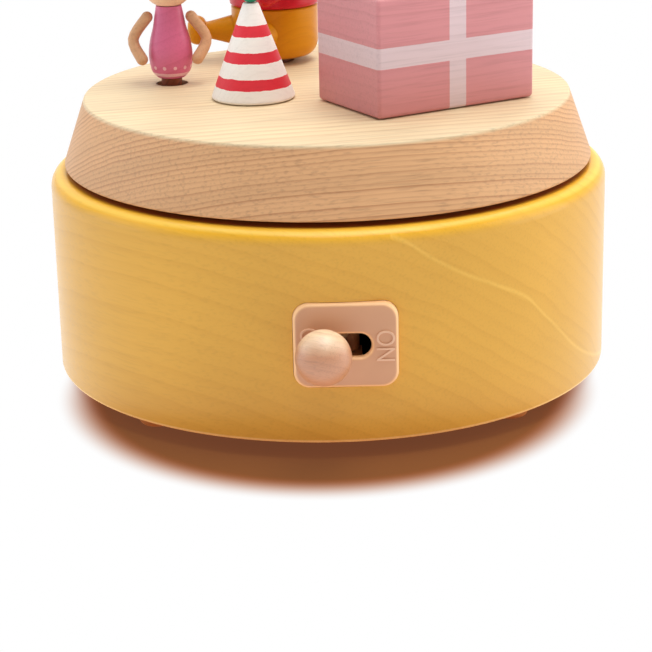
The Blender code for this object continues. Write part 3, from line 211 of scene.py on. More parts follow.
def lathe(name, outline, foot, steps=FINE_STEPS, axis=UP, closed=False):
    """Spin an outline of (radius, height) points round an axis that starts at foot."""
    axis = Vector(axis).normalized()
    side = axis.orthogonal().normalized()
    spots = [Vector(foot) + side * r + axis * h for r, h in outline]
    put_down()
    bpy.ops.mesh.primitive_plane_add(size=MM, location=spots[0])
    piece = bpy.context.object
    piece.name = name
    settle(piece)
    edit_all(piece)
    bpy.ops.mesh.merge(type="CENTER")
    here = spots[0]
    for there in spots[1:] + (spots[:1] if closed else []):
        bpy.ops.mesh.extrude_vertices_move(TRANSFORM_OT_translate={"value": there - here})
        here = there
    bpy.ops.mesh.select_all(action="SELECT")
    bpy.ops.mesh.spin(steps=steps, angle=2 * pi, center=foot, axis=axis)
    merge_and_face_out(piece)
    return piece


def bore(piece, radius, at, low, high, steps=32):
    """Drill a piece straight up between two heights."""
    rod = [(0, 0), (radius, 0), (radius, high - low), (0, high - low)]
    cut_away(piece, lathe("drill", rod, (at.x, at.y, low), steps))


def block(name, low, high, turn=0.0, about=(0, 0, 0)):
    """A box between two corners, turned about a vertical line."""
    low, high = Vector(low), Vector(high)
    put_down()
    bpy.ops.mesh.primitive_cube_add(size=1, location=(low + high) / 2)
    piece = bpy.context.object
    piece.name = name
    piece.scale = high - low
    settle(piece)
    if turn:
        piece.matrix_world = (Matrix.Translation(about) @ Matrix.Rotation(turn, 4, "Z")
                              @ Matrix.Translation(-Vector(about)))
        settle(piece)
    return piece


print("lathe: a full circle has", ROUND_STEPS, "steps on the drum and", FINE_STEPS, "on small pieces")

# %% [markdown]
# ## How a finish is mixed
# Colours are written as they look on a screen, 0 to 255. The helpers below add a node, do a sum, or blend
# two colours. Every pattern is read from Object coordinates, which are the places in the piece itself, so
# nothing slides when a body turns.

# %% Colour and node helpers
def screen(red, green, blue):
    """A colour as seen on a screen, as the linear numbers that Blender mixes."""
    shares = [v / 255 for v in (red, green, blue)]
    linear = [v / 12.92 if v <= 0.04045 else ((v + 0.055) / 1.055) ** 2.4 for v in shares]
    return (*linear, 1.0)


def new_finish(name):
    finish = bpy.data.materials.new(name)
    finish.use_nodes = True
    return finish, finish.node_tree, finish.node_tree.nodes["Principled BSDF"]


def join(tree, value, socket):
    """Set a socket to a number or colour, or link another socket to it."""
    if isinstance(value, bpy.types.NodeSocket):
        tree.links.new(value, socket)
    else:
        socket.default_value = value


def add(tree, kind, inputs, **settings):
    made = tree.nodes.new(f"ShaderNode{kind}")
    for key, value in settings.items():
        setattr(made, key, value)
    for key, value in inputs.items():
        join(tree, value, made.inputs[key])
    return made


def sums(tree, operation, first, second=0.0):
    return add(tree, "Math", {0: first, 1: second}, operation=operation).outputs[0]


def plus(tree, first, second):
    return sums(tree, "ADD", first, second)


def minus(tree, first, second):
    return sums(tree, "SUBTRACT", first, second)


def times(tree, first, second):
    return sums(tree, "MULTIPLY", first, second)


def slant(tree, first, second):
    """The long side over two short ones."""
    return sums(tree, "SQRT", plus(tree, times(tree, first, first), times(tree, second, second)))


def off(tree, value, centre):
    """How far a value is from a middle one."""
    return sums(tree, "ABSOLUTE", minus(tree, value, centre))


def rise(tree, value, start, end):
    """0 up to the start and 1 from the end on, with an even slope between."""
    return add(tree, "MapRange", {"Value": value, "From Min": start, "From Max": end}).outputs[0]


def vectors(tree, operation, first, second):
    return add(tree, "VectorMath", {0: first, 1: second}, operation=operation).outputs[0]


def distance(tree, first, second):
    return add(tree, "VectorMath", {0: first, 1: second}, operation="DISTANCE").outputs["Value"]


def axes(tree, place):
    return tuple(add(tree, "SeparateXYZ", {0: place}).outputs)


def blend(tree, share, first, second, way="MIX"):
    made = add(tree, "Mix", {0: share, 6: first, 7: second}, data_type="RGBA", blend_type=way)
    return made.outputs[2]


def steps_of(tree, value, stops):
    """A ramp from (position, grey) stops."""
    made = add(tree, "ValToRGB", {0: value})
    bar = made.color_ramp
    bar.elements.remove(bar.elements[1])
    for i, (position, grey) in enumerate(stops):
        stop = bar.elements[0] if i == 0 else bar.elements.new(position)
        stop.position = position
        stop.color = (grey, grey, grey, 1)
    return made.outputs[0]


def darkened(tree, tone, pattern, stops):
    """A tone under a grey that follows a pattern."""
    return blend(tree, 1.0, tone, steps_of(tree, pattern, stops), "MULTIPLY")


def place_in_piece(tree):
    return add(tree, "TexCoord", {}).outputs["Object"]


def speckle(tree, place, size, detail=2.0, stretch=(1, 1, 1)):
    """Noise whose patches are about one size across, in metres."""
    pulled = add(tree, "Mapping", {"Vector": place, "Scale": stretch}).outputs[0]
    return add(tree, "TexNoise", {"Vector": pulled, "Scale": 1 / size, "Detail": detail}).outputs["Fac"]


def skin(tree, shader, tone, grain, spread, smoothest, relief, strength, depth):
    """Join up a finish: its tone, a roughness that follows the grain, and a fine relief."""
    join(tree, tone, shader.inputs["Base Color"])
    join(tree, plus(tree, times(tree, grain, spread), smoothest), shader.inputs["Roughness"])
    bumped = add(tree, "Bump", {"Height": relief, "Strength": strength, "Distance": depth})
    join(tree, bumped.outputs[0], shader.inputs["Normal"])


print("white on screen is", screen(255, 255, 255)[:3], "in linear numbers")

# %% [markdown]
# ## Wood that goes all the way through
# A plank is a slice of a log. Its growth rings are long cylinders round a pith far outside the piece, and
# its fibres run along them. The finish turns the place so that x runs along the fibres, measures the
# distance from the pith, and draws a fine darker line at the end of each year. Fine fibres are noise
# stretched along x. On a round piece this gives nearly straight lines where the side follows the fibres
# and slanting ones where it cuts across them, as on the real stage and drum.

# %% Growth rings and fibres
WAVES = 22 * MM
RIPPLES = 4 * MM
PATCHES = 28 * MM
PULLED = (0.3, 1, 1)
FIBRE_PULLED = (0.045, 1, 1)
YEAR = [(0.0, 0.0), (0.45, 0.12), (0.8, 0.75), (0.9, 1.0), (1.0, 0.0)]


def growth(tree, fibre, tilt, gap, pith, wander, fibre_size):
    """Three greys: the dark line of each growth ring, the fine fibres, and broad bands of good years."""
    turned = add(tree, "Mapping", {"Vector": place_in_piece(tree),
                                   "Rotation": (radians(-tilt), 0, radians(fibre))},
                 vector_type="TEXTURE").outputs[0]
    _, across, deep = axes(tree, turned)
    from_pith = slant(tree, across, plus(tree, deep, pith))
    waves = speckle(tree, turned, WAVES, 2.0, PULLED)
    ripple = speckle(tree, turned, RIPPLES, 1.0, PULLED)
    shifted = plus(tree, from_pith, times(tree, waves, wander))
    shifted = plus(tree, shifted, times(tree, ripple, wander * 0.12))
    years = sums(tree, "DIVIDE", shifted, gap)
    late = steps_of(tree, sums(tree, "FRACT", years), YEAR)
    year = add(tree, "TexWhiteNoise", {"W": sums(tree, "FLOOR", years)}, noise_dimensions="1D")
    strength = plus(tree, times(tree, year.outputs["Value"], 0.75), 0.25)
    fibres = speckle(tree, turned, fibre_size, 3.0, FIBRE_PULLED)
    slow = add(tree, "TexNoise", {"W": years, "Scale": 0.16, "Detail": 1.0}, noise_dimensions="1D")
    return times(tree, late, strength), fibres, slow.outputs[0]


def wood(name, light, dark, rough, fibre=14, tilt=27, gap=1.0, pith=400, wander=1.5, lines=0.8,
         fibres=0.5, fibre_size=0.5, coat=0.0, bump=0.25, shine=0.3):
    """A wood finish: ring lines over a light tone, fibre streaks, slow patches, and a fine relief.

    Lengths are in millimetres. A tone may be a function that mixes it from the place in the piece.
    """
    finish, tree, shader = new_finish(name)
    line, streak, slow = growth(tree, fibre, tilt, gap * MM, pith * MM, wander * MM, fibre_size * MM)
    ground = light(tree) if callable(light) else light
    shade = dark(tree) if callable(dark) else dark
    tinted = blend(tree, times(tree, line, lines), ground, shade, "MULTIPLY" if callable(light) else "MIX")
    tinted = darkened(tree, tinted, streak, [(0.3, 1 - 0.22 * fibres), (0.5, 1.0)])
    tinted = darkened(tree, tinted, slow, [(0.35, 1 - 0.1 * lines), (0.6, 1.0)])
    patches = speckle(tree, place_in_piece(tree), PATCHES)
    tinted = darkened(tree, tinted, patches, [(0.3, 0.93), (0.7, 1.0)])
    shader.inputs["Specular IOR Level"].default_value = shine
    if coat:
        shader.inputs["Coat Weight"].default_value = coat
        shader.inputs["Coat Roughness"].default_value = 0.16
    relief = plus(tree, times(tree, line, -0.4), streak)
    skin(tree, shader, tinted, streak, 0.16, rough - 0.08, relief, bump, 0.12 * MM)
    return finish


print("wood: ring lines, fibres, slow bands and cloudy patches")

# %% [markdown]
# ## The finishes of this toy
# The drum has a yellow stain under a thin satin varnish: the grain still shows through, faint and a little
# darker. The stage is oiled maple, with a cream face and rosier sides. Its side drinks more oil than its
# face, so its ring lines are deeper too.

# %% The stage's and the ball's tones
SIDE_ENDS = 0.9 * MM
FACE_STARTS = 0.2 * MM
# Heights above the ball's middle where its painted top light begins and is full.
TOP_LIGHT_HEIGHTS = (1.6 * MM, 5 * MM)
ball_middle_z = middle("switch_ball").z


def on_face(tree):
    """1 on the stage's face, 0 on its side."""
    height = axes(tree, place_in_piece(tree))[2]
    return rise(tree, height, stage_top - SIDE_ENDS, stage_top - FACE_STARTS)


def stage_tones(tree):
    return blend(tree, on_face(tree), screen(223, 172, 124), screen(233, 210, 171))


def stage_lines(tree):
    """The tone of a ring line: deeper on the side than on the face."""
    return blend(tree, on_face(tree), screen(192, 158, 134), screen(224, 202, 184))


def ball_tones(tree):
    """Painted light and shade: the upper part of the ball is painted cream as light from above, and the lower
    part pinker and darker as painted shade.
    """
    place = place_in_piece(tree)
    uneven = times(tree, minus(tree, speckle(tree, place, 5 * MM), 0.5), 3 * MM)
    height = plus(tree, axes(tree, place)[2], uneven)
    painted_top_light = rise(tree, height, *[ball_middle_z + lift for lift in TOP_LIGHT_HEIGHTS])
    return blend(tree, painted_top_light, screen(204, 142, 104), screen(246, 214, 178))


print(f"stage: the side's tone ends {SIDE_ENDS / MM} mm under the face")

# %% [markdown]
# The drum's stain is deeper on the rounded rim, where the grain ends, and that band is also painted lighter
# as painted top light. A pale line along the lowest edge is a painted highlight, and so is a lighter band
# just under the rim's top. The top under the stage is darkened as painted shade, which deepens the gap. One
# pale streak runs down the front on the right, along a curve of (across, height) shares.

# %% The drum's tones
# These bands place the drum's painted light: the lighter rim band, a painted highlight just under the rim's
# top, painted shade on the top under the stage and a painted highlight along the lowest edge.
RIM_STAIN_AND_LIGHT_BAND = (2.4 * MM, 1.2 * MM)
RIM_HIGHLIGHT_AT = 0.5 * MM
RIM_HIGHLIGHT_BAND = (0.6 * MM, 0.15 * MM)
GAP_SHADE_BAND = (3.2 * MM, 4.6 * MM)
FOOT_HIGHLIGHT_BAND = (0.85 * MM, 0.55 * MM)
STREAK_BAND = (0.7 * MM, 0.1 * MM)
STREAK_FROM = 12 * MM
STREAK_SHARE = 0.4
STREAK = [(0.0, 1.0), (0.21, 0.963), (0.32, 0.868), (0.43, 0.777), (0.545, 0.694), (0.652, 0.605),
          (0.701, 0.526), (0.768, 0.415), (0.852, 0.267), (0.973, 0.109), (1.0, 0.08)]


def streak_share(tree, across, back, height):
    course = add(tree, "FloatCurve", {"Value": sums(tree, "DIVIDE", across, drum_r)})
    bends = course.mapping.curves[0].points
    bends[0].location, bends[1].location = STREAK[0], STREAK[-1]
    for bend in STREAK[1:-1]:
        bends.new(*bend)
    course.mapping.update()
    streak_z = times(tree, course.outputs[0], rim_z)
    on_streak = rise(tree, off(tree, height, streak_z), *STREAK_BAND)
    in_front = times(tree, sums(tree, "LESS_THAN", back, 0.0),
                     sums(tree, "GREATER_THAN", across, STREAK_FROM))
    return times(tree, times(tree, on_streak, in_front), STREAK_SHARE)


def drum_tones(tree):
    across, back, height = axes(tree, place_in_piece(tree))
    # The rim band: deeper stain on the end grain, and painted lighter as painted top light.
    on_rim_stain_and_light = rise(tree, height, *[rim_z - depth for depth in RIM_STAIN_AND_LIGHT_BAND])
    # A painted highlight: a lighter band just under the rim's top.
    painted_rim_highlight = rise(tree, off(tree, height, rim_z - RIM_HIGHLIGHT_AT), *RIM_HIGHLIGHT_BAND)
    # Painted shade: the top under the stage is darkened, which deepens the gap.
    level = add(tree, "CombineXYZ", {0: across, 1: back}).outputs[0]
    painted_gap_shade = rise(tree, distance(tree, level, drum_axis), *[drum_r - inwards for inwards in GAP_SHADE_BAND])
    # A painted highlight: a pale line along the lowest edge, where it would catch light from the floor.
    painted_foot_highlight = rise(tree, height, *[drum_floor + lift for lift in FOOT_HIGHLIGHT_BAND])
    # The tone gathers the stain, then the painted rim highlight, the painted gap shade, the streak and the
    # painted foot highlight.
    stain = blend(tree, on_rim_stain_and_light, screen(226, 171, 71), screen(240, 180, 44))
    stain = blend(tree, painted_rim_highlight, stain, screen(251, 203, 80))
    stain = blend(tree, painted_gap_shade, stain, screen(176, 96, 40))
    stain = blend(tree, streak_share(tree, across, back, height), stain, screen(252, 206, 100))
    return blend(tree, painted_foot_highlight, stain, screen(255, 214, 138))


print("streak:", len(STREAK), "bends")

# %% [markdown]
# Painted pieces are thin satin paint on the same maple, so a little grain shows there too. Each finish has
# its own direction of grain, because each piece is sawn from another board.

# %% Woods and paints
drum_stain = wood("yellow_stain", drum_tones, screen(224, 210, 180), 0.4, fibre=-45, tilt=37, gap=3.0,
                  wander=5, lines=0.26, fibres=0.3, coat=0.3, bump=0.1, shine=0.1)
stage_maple = wood("oiled_maple", stage_tones, stage_lines, 0.55, gap=1.05, wander=2.2, lines=0.7,
                   fibres=0.85, bump=0.3, shine=0.45)
foot_wood = wood("foot_wood", screen(200, 142, 86), screen(156, 102, 58), 0.5, gap=1.3)
board_wood = wood("board_wood", screen(214, 178, 128), screen(170, 128, 82), 0.65, fibre=5, tilt=80, gap=2.4,
                  wander=8)
ball_wood = wood("ball_wood", ball_tones, screen(214, 190, 178), 0.42, fibre=-30, tilt=35, gap=1.2,
                 lines=0.3, fibres=0.75, fibre_size=0.25, shine=0.9)
doll_wood = wood("doll_wood", screen(220, 168, 126), screen(190, 136, 98), 0.5, fibre=88, tilt=15, gap=1.6,
                 lines=0.35)
post_stain = wood("brown_stain", screen(142, 70, 38), screen(98, 44, 22), 0.5, fibre=80, tilt=60, gap=1.2)
satin = {"lines": 0.25, "fibres": 0.25, "coat": 0.05, "bump": 0.08}
mustard_paint = wood("mustard_paint", screen(218, 143, 18), screen(198, 118, 12), 0.32, fibre=40, tilt=50,
                     gap=1.6, shine=0.12, **satin)
red_paint = wood("red_paint", screen(206, 28, 44), screen(176, 20, 34), 0.32, fibre=70, tilt=40, gap=1.6,
                 shine=0.2, **satin)
green_paint = wood("green_paint", screen(28, 142, 104), screen(18, 112, 80), 0.3, gap=1.2, lines=0.3,
                   fibres=0.3, coat=0.3, bump=0.08)
hair_paint = wood("brown_hair_paint", screen(112, 62, 34), screen(74, 38, 20), 0.42, fibre=60, tilt=80,
                  gap=0.6, lines=0.6, fibres=0.8, bump=0.5)
print("woods and paints:", len([m for m in bpy.data.materials if m.use_nodes]))

# %% [markdown]
# Three finishes have a painted pattern, and each is a plain sum on the place: the cone's stripes are bands
# of height, the gift's ribbons are a band of height and a band across the box, and the dress has a hem
# with a row of dots above it. A little noise on the place keeps the edges from looking printed.

# %% Painted patterns
gift_centre = middle("gift_box")
GIFT_TURN = radians(30)
STRIPES = in_mm((2.9, 5.2), (8.4, 10.7), (13.9, 16.3))
RIBBON_ROUND = (10.5 * MM, 14.9 * MM)
RIBBON_HALF = 2.1 * MM


def wobbling_place(tree, amount):
    place = place_in_piece(tree)
    noise = add(tree, "TexNoise", {"Vector": place, "Scale": 500.0, "Detail": 2.0}).outputs["Color"]
    centred = vectors(tree, "SUBTRACT", noise, (0.5, 0.5, 0.5))
    return vectors(tree, "ADD", place, vectors(tree, "MULTIPLY", centred, (amount, amount, amount)))


def band(tree, value, low, high):
    """White between two values, black elsewhere."""
    return sums(tree, "LESS_THAN", off(tree, value, (low + high) / 2), (high - low) / 2)


def cone_colours(tree):
    height = minus(tree, axes(tree, wobbling_place(tree, 0.5 * MM))[2], floor_of("cone_body"))
    stripes = 0.0
    for low, high in STRIPES:
        stripes = sums(tree, "MAXIMUM", stripes, band(tree, height, low, high))
    return blend(tree, stripes, screen(255, 248, 242), screen(230, 52, 66))


def gift_colours(tree):
    about = add(tree, "Mapping", {"Vector": wobbling_place(tree, 0.12 * MM),
                                  "Location": (gift_centre.x, gift_centre.y, 0),
                                  "Rotation": (0, 0, GIFT_TURN)}, vector_type="TEXTURE")
    across, _, height = axes(tree, about.outputs[0])
    round_box_ribbon = band(tree, minus(tree, height, floor_of("gift_box")), *RIBBON_ROUND)
    over_box_ribbon = band(tree, across, -RIBBON_HALF, RIBBON_HALF)
    ribbons = sums(tree, "MAXIMUM", round_box_ribbon, over_box_ribbon)
    return blend(tree, ribbons, screen(215, 142, 146), screen(224, 199, 204))


cone_paint = wood("striped_cone_paint", cone_colours, screen(214, 200, 190), 0.5, fibre=20, tilt=80,
                  gap=1.4, lines=0.1, fibres=0.25)
gift_paint = wood("gift_paint", gift_colours, screen(206, 190, 190), 0.42, fibre=30, tilt=8, gap=1.9,
                  pith=120, wander=3, lines=0.25, fibres=0.45, bump=0.15)
print("painted patterns: stripes, ribbons")

# %% [markdown]
# ## The drum
# The real drum is turned from a thick block: a rounded rim with a flat top runs round a sunk deck, and
# the underside is bored out for the movement. One closed outline gives all of it. The switch plate sits in
# a shallow pocket with a window behind it, and both are cut with a Boolean, as a router would.

# %% Turn the drum
RIM_ROUND = 3.3 * MM
RIM_WIDTH = 11.5 * MM
RIM_INNER_ROUND = 0.6 * MM
BOTTOM_ROUND = 0.8 * MM
SHAFT_HOLE_R = 4.8 * MM
deck_z = rim_z - 5.9 * MM
ceiling_z = deck_z - 5.0 * MM
cavity_r = drum_r - 9.0 * MM
board_seat_r = drum_r - 3.8 * MM
board_seat_z = drum_floor + 4.8 * MM

drum_outline = bow(drum_r - RIM_ROUND, rim_z - RIM_ROUND, RIM_ROUND, 90, 0, 12)
drum_outline += bow(drum_r - BOTTOM_ROUND, drum_floor + BOTTOM_ROUND, BOTTOM_ROUND, 0, -90, 4)
drum_outline += [(board_seat_r, drum_floor), (board_seat_r, board_seat_z), (cavity_r, board_seat_z),
                 (cavity_r, ceiling_z), (SHAFT_HOLE_R, ceiling_z), (SHAFT_HOLE_R, deck_z),
                 (drum_r - RIM_WIDTH, deck_z)]
drum_outline += bow(drum_r - RIM_WIDTH + RIM_INNER_ROUND, rim_z - RIM_INNER_ROUND, RIM_INNER_ROUND,
                    180, 90, 3)
drum = lathe("drum", drum_outline, drum_axis, ROUND_STEPS, closed=True)
print("drum turned, with its deck at", round(deck_z / MM, 1), "mm")

# %% [markdown]
# The plate's pocket is a rounded rectangle. A plane's four corners are bevelled as corners, not edges,
# which gives the outline in one step, and the face is then extruded to the depth.

# %% Cut the pocket and the window
plate_low, plate_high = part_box("switch_plate")
plate_size = plate_high - plate_low
plate_middle = (plate_low + plate_high) / 2
plate_middle.y = plate_low.y
PLATE_CORNER = 3.3 * MM
PLATE_THICK = 3.0 * MM
POCKET_ROOM = 0.08 * MM
POCKET_DEEP = 3.3 * MM
CORNER_STEPS = 12
WINDOW_HALF = Vector((6.6 * MM, 0, 7.0 * MM))
WINDOW_LAP = 0.7 * MM
WINDOW_DEEP = 19 * MM
OUT_OF_DRUM = 5 * MM


def rounded_face(name, width, height, corner):
    """A flat face with rounded corners, lying on the floor."""
    put_down()
    bpy.ops.mesh.primitive_plane_add(size=1, location=(0, 0, 0))
    face = bpy.context.object
    face.name = name
    face.scale = (width, height, 1)
    settle(face)
    edit_all(face)
    bpy.ops.mesh.bevel(offset=corner, segments=CORNER_STEPS, affect="VERTICES")
    put_down()
    return face


def stand_up(face, centre, depth):
    """Thicken a lying face, and stand it up so that it faces -Y with its front at centre."""
    edit_all(face)
    bpy.ops.mesh.extrude_region_move(TRANSFORM_OT_translate={"value": (0, 0, -depth)})
    put_down()
    face.matrix_world = Matrix.Translation(centre) @ Matrix.Rotation(pi / 2, 4, "X")
    settle(face)
    merge_and_face_out(face)
    return face


pocket = rounded_face("pocket", plate_size.x + 2 * POCKET_ROOM, plate_size.z + 2 * POCKET_ROOM,
                      PLATE_CORNER + POCKET_ROOM)
cut_away(drum, stand_up(pocket, plate_middle - Vector((0, OUT_OF_DRUM, 0)), OUT_OF_DRUM + POCKET_DEEP))
window_front = plate_middle + Vector((0, PLATE_THICK - WINDOW_LAP, 0))
cut_away(drum, block("window", window_front - WINDOW_HALF,
                     window_front + WINDOW_HALF + Vector((0, WINDOW_DEEP, 0))))
hand_over(drum, drum_stain, "base", "yellow_stained_wood", "drum_shell")

# %% [markdown]
# ## The turning stage
# A thick disc of maple whose side slopes in towards the top. Two holes let the dolls' posts through, wider
# than the posts, so a dark ring of shadow stays round each post. The edges are only just broken, as with
# one pass of fine paper.

# %% Turn the stage
STAGE_BOTTOM_R = 59.2 * MM
STAGE_TOP_R = 54.4 * MM
STAGE_EDGE = 0.5 * MM
SIDE_LEANS = 18
SHAFT_SOCKET_R = 2.3 * MM
SHAFT_SOCKET_DEEP = 9.3 * MM
POST_HOLES = {"small": 3.65 * MM, "large": 4.4 * MM}
stage_outline = [(0, stage_top), (STAGE_TOP_R - 6 * MM, stage_top)]
stage_outline += bow(STAGE_TOP_R - STAGE_EDGE, stage_top - STAGE_EDGE, STAGE_EDGE, 90, SIDE_LEANS, 4)
stage_outline += bow(STAGE_BOTTOM_R - STAGE_EDGE, stage_z + STAGE_EDGE, STAGE_EDGE, SIDE_LEANS, -90, 4)
stage = lathe("stage", stage_outline + [(0, stage_z)], drum_axis, ROUND_STEPS)
for which, hole_r in POST_HOLES.items():
    bore(stage, hole_r, middle(f"{which}_post"), stage_z - MM, stage_top + MM, 48)
bore(stage, SHAFT_SOCKET_R, drum_axis, stage_z - MM, stage_z + SHAFT_SOCKET_DEEP)
hand_over(stage, stage_maple, "stage", "pale_maple", "stage_disc")

# %% [markdown]
# ## Under the box
# Four half-dome feet, a plywood board with a round well for the key, and countersunk screws. The board is
# turned like the rest, with a small round on the well's edge.

# %% Feet and board
WELL_R = 17.0 * MM
WELL_ROUND = 0.6 * MM
BOARD_ROUND = 0.4 * MM
SCREW_HEAD_R = 2.7 * MM
SCREW_R = 1.5 * MM
SINK_FLAT = 0.4 * MM
SINK_DEEP = 1.7 * MM
SCREWS = [f"{held}_screw_{number}" for held in ("board", "bed") for number in (1, 2, 3)]
for end in ("front", "back"):
    for hand in ("left", "right"):
        node = f"foot_{end}_{hand}"
        spot, reach, high = round_box(node)
        dome = flowing([(reach, high * 0.72), (reach * 0.98, high * 0.38), (reach * 0.93, high * 0.13),
                        (reach * 0.84, 0.0)], 4)
        foot = lathe(f"{end}_{hand}_foot", [(0, high), (reach, high)] + dome + [(0, 0)], spot, 48)
        hand_over(foot, foot_wood, "base", "pale_maple", node)

board_foot, board_r, board_t = round_box("bottom_board")
board_outline = bow(board_r - BOARD_ROUND, BOARD_ROUND, BOARD_ROUND, -90, 0, 3)
board_outline += [(board_r, board_t), (WELL_R, board_t)]
board_outline += bow(WELL_R + WELL_ROUND, WELL_ROUND, WELL_ROUND, 180, 270, 4)
board = lathe("board", board_outline, drum_axis + UP * board_foot.z, 120, closed=True)
sink = [(0, -SINK_FLAT), (SCREW_HEAD_R, -SINK_FLAT), (SCREW_HEAD_R, SINK_FLAT), (SCREW_R, SINK_DEEP),
        (SCREW_R, board_t + MM), (0, board_t + MM)]
for screw in SCREWS:
    spot = middle(screw)
    cut_away(board, lathe("sink", sink, (spot.x, spot.y, board_foot.z), 32))
hand_over(board, board_wood, "base", "plywood", "bottom_board")

# %% [markdown]
# ## The switch
# A plate of beige plastic is moulded with soft edges, a long rounded slot and raised letters. The stem of
# the lever comes out of the slot and ends in a wooden ball. The plastic's edges are painted lighter than its
# face, as a painted highlight.

# %% Plastics and metals
def plastic(name, colour, rough=0.45, painted_edge_highlight=False, mottle=0.04):
    """A moulded plastic; where its skin turns away from the front, it can be painted paler, as a painted
    highlight.
    """
    finish, tree, shader = new_finish(name)
    place = place_in_piece(tree)
    ground = darkened(tree, colour, speckle(tree, place, 6 * MM, 3.0), [(0.3, 1 - mottle), (0.7, 1.0)])
    if painted_edge_highlight:
        # Skin that turns away from the front, as on rounded edges, is painted paler: a painted highlight.
        facing = axes(tree, add(tree, "NewGeometry", {}).outputs["Normal"])[1]
        ground = blend(tree, rise(tree, facing, -0.98, -0.8), ground, screen(255, 204, 150))
    grain = speckle(tree, place, 0.15 * MM)
    skin(tree, shader, ground, grain, 0.15, rough - 0.07, grain, 0.1, 0.05 * MM)
    return finish


def metal(name, colour, rough, brushed=(1, 1, 0.05), bump=0.1):
    finish, tree, shader = new_finish(name)
    lines = speckle(tree, place_in_piece(tree), 0.2 * MM, 3.0, brushed)
    tone = darkened(tree, colour, lines, [(0.3, 0.86), (0.7, 1.0)])
    shader.inputs["Metallic"].default_value = 1.0
    skin(tree, shader, tone, lines, 0.25, rough - 0.12, lines, bump, 0.03 * MM)
    return finish


beige_plastic = plastic("beige_plastic", screen(212, 157, 119), 0.42, painted_edge_highlight=True)
# The letters are a paler plastic than the plate, as a painted highlight on the raised letters.
letter_plastic = plastic("letter_plastic", screen(230, 184, 150), 0.35)
dark_plastic = plastic("black_plastic", screen(38, 36, 36), 0.5)
gear_plastic = plastic("white_gear_plastic", screen(226, 222, 210), 0.4)
steel = metal("bright_steel", screen(196, 196, 198), 0.32)
comb_steel = metal("comb_steel", screen(176, 178, 182), 0.28, (0.05, 1, 1))
brass = metal("brass", screen(214, 176, 96), 0.3)
zinc = metal("cast_zinc", screen(158, 160, 162), 0.52, (1, 1, 1), 0.4)
print("finishes so far:", len(bpy.data.materials))

# %% [markdown]
# The plate's outline and the slot's are two faces with equally many corner points. Only their edges are
# kept, and a bridge between the two loops gives an even ring of faces, which a Bevel modifier can round off
# cleanly at the rim and round the slot. Behind the slot the plate is hollowed, so its lip looks thin. Two
# ears at the back hold the pin that the lever turns on.

# %% Mould the plate
SLOT_LONG = 10.4 * MM
SLOT_HIGH = 4.9 * MM
SLOT_LIP = 1.2 * MM
SLOT_FLAT = 0.02 * MM
PLATE_EDGE = 1.0 * MM
PIN_R = 1.3 * MM
PIN_REACH = 9 * MM
EAR_UP = 5.95 * MM
EAR_HALF = Vector((3.5 * MM, 0, 0.75 * MM))
EAR_SUNK = 0.4 * MM
plate = rounded_face("plate", plate_size.x, plate_size.z, PLATE_CORNER)
slot = rounded_face("slot", SLOT_LONG, SLOT_HIGH, (SLOT_HIGH - SLOT_FLAT) / 2)
pick_up(slot)
plate.select_set(True)
bpy.context.view_layer.objects.active = plate
bpy.ops.object.join()
edit_all(plate)
bpy.ops.mesh.delete(type="ONLY_FACE")
bpy.ops.mesh.select_all(action="SELECT")
bpy.ops.mesh.bridge_edge_loops()
stand_up(plate, plate_middle, PLATE_THICK)
round_off(plate, PLATE_EDGE, 6)
hollow = rounded_face("hollow", SLOT_LONG + 2 * SLOT_LIP, SLOT_HIGH + 2 * SLOT_LIP, SLOT_HIGH / 2)
cut_away(plate, stand_up(hollow, plate_middle + Vector((0, SLOT_LIP, 0)), PLATE_THICK))
for side in (1, -1):
    ear = plate_middle + UP * side * EAR_UP
    ear.y = plate_low.y + PLATE_THICK - EAR_SUNK
    far_corner = ear + EAR_HALF
    far_corner.y = plate_high.y
    weld(plate, block("ear", ear - EAR_HALF, far_corner))
pin = middle("switch_pin")
bore(plate, PIN_R, pin, pin.z - PIN_REACH, pin.z + PIN_REACH, 24)
hand_over(plate, beige_plastic, "base", "beige_plastic", "switch_plate")

# %% [markdown]
# ON and OFF are raised on the plate, turned so that they read downwards. Text is a curve, so it is made a
# mesh first and placed after. Its letters get a fine bevel, which catches the light as moulded letters do.

# %% Raise the letters
LETTER_RAISED = 0.22 * MM
LETTER_THINNED = 0.08 * MM
LETTER_BEVEL = 0.09 * MM
LETTER_SIZE = 5.4 * MM
LETTER_NARROW = 0.8
WORDS = {"ON": (8.9 * MM, 28.2 * MM), "OFF": (-6.5 * MM, 29.0 * MM)}
for word, (left_x, top_z) in WORDS.items():
    put_down()
    bpy.ops.object.text_add(location=(0, 0, 0))
    label = bpy.context.object
    label.name = f"{word.lower()}_letters"
    label.data.body = word
    label.data.size = LETTER_SIZE
    label.data.extrude = LETTER_RAISED
    label.data.offset = -LETTER_THINNED
    label.data.bevel_depth = LETTER_BEVEL
    label.data.bevel_resolution = 1
    bpy.ops.object.convert(target="MESH")
    downwards = Matrix(((0, 1, 0), (0, 0, -1), (-1, 0, 0))).to_4x4()
    narrow = Matrix.Diagonal((LETTER_NARROW, 1, 1, 1))
    label.matrix_world = Matrix.Translation((left_x, plate_low.y, top_z)) @ downwards @ narrow
    settle(label)
    merge_and_face_out(label)
    hand_over(label, letter_plastic, "base", "beige_plastic")

# %% [markdown]
# The lever is one moulding: a hub round the pin, a stem out to the ball and a finger inwards, which stops
# the governor. The ball is turned with a bore for the stem. A turned ball keeps a tiny flat where it was
# parted off, and here it faces the front.

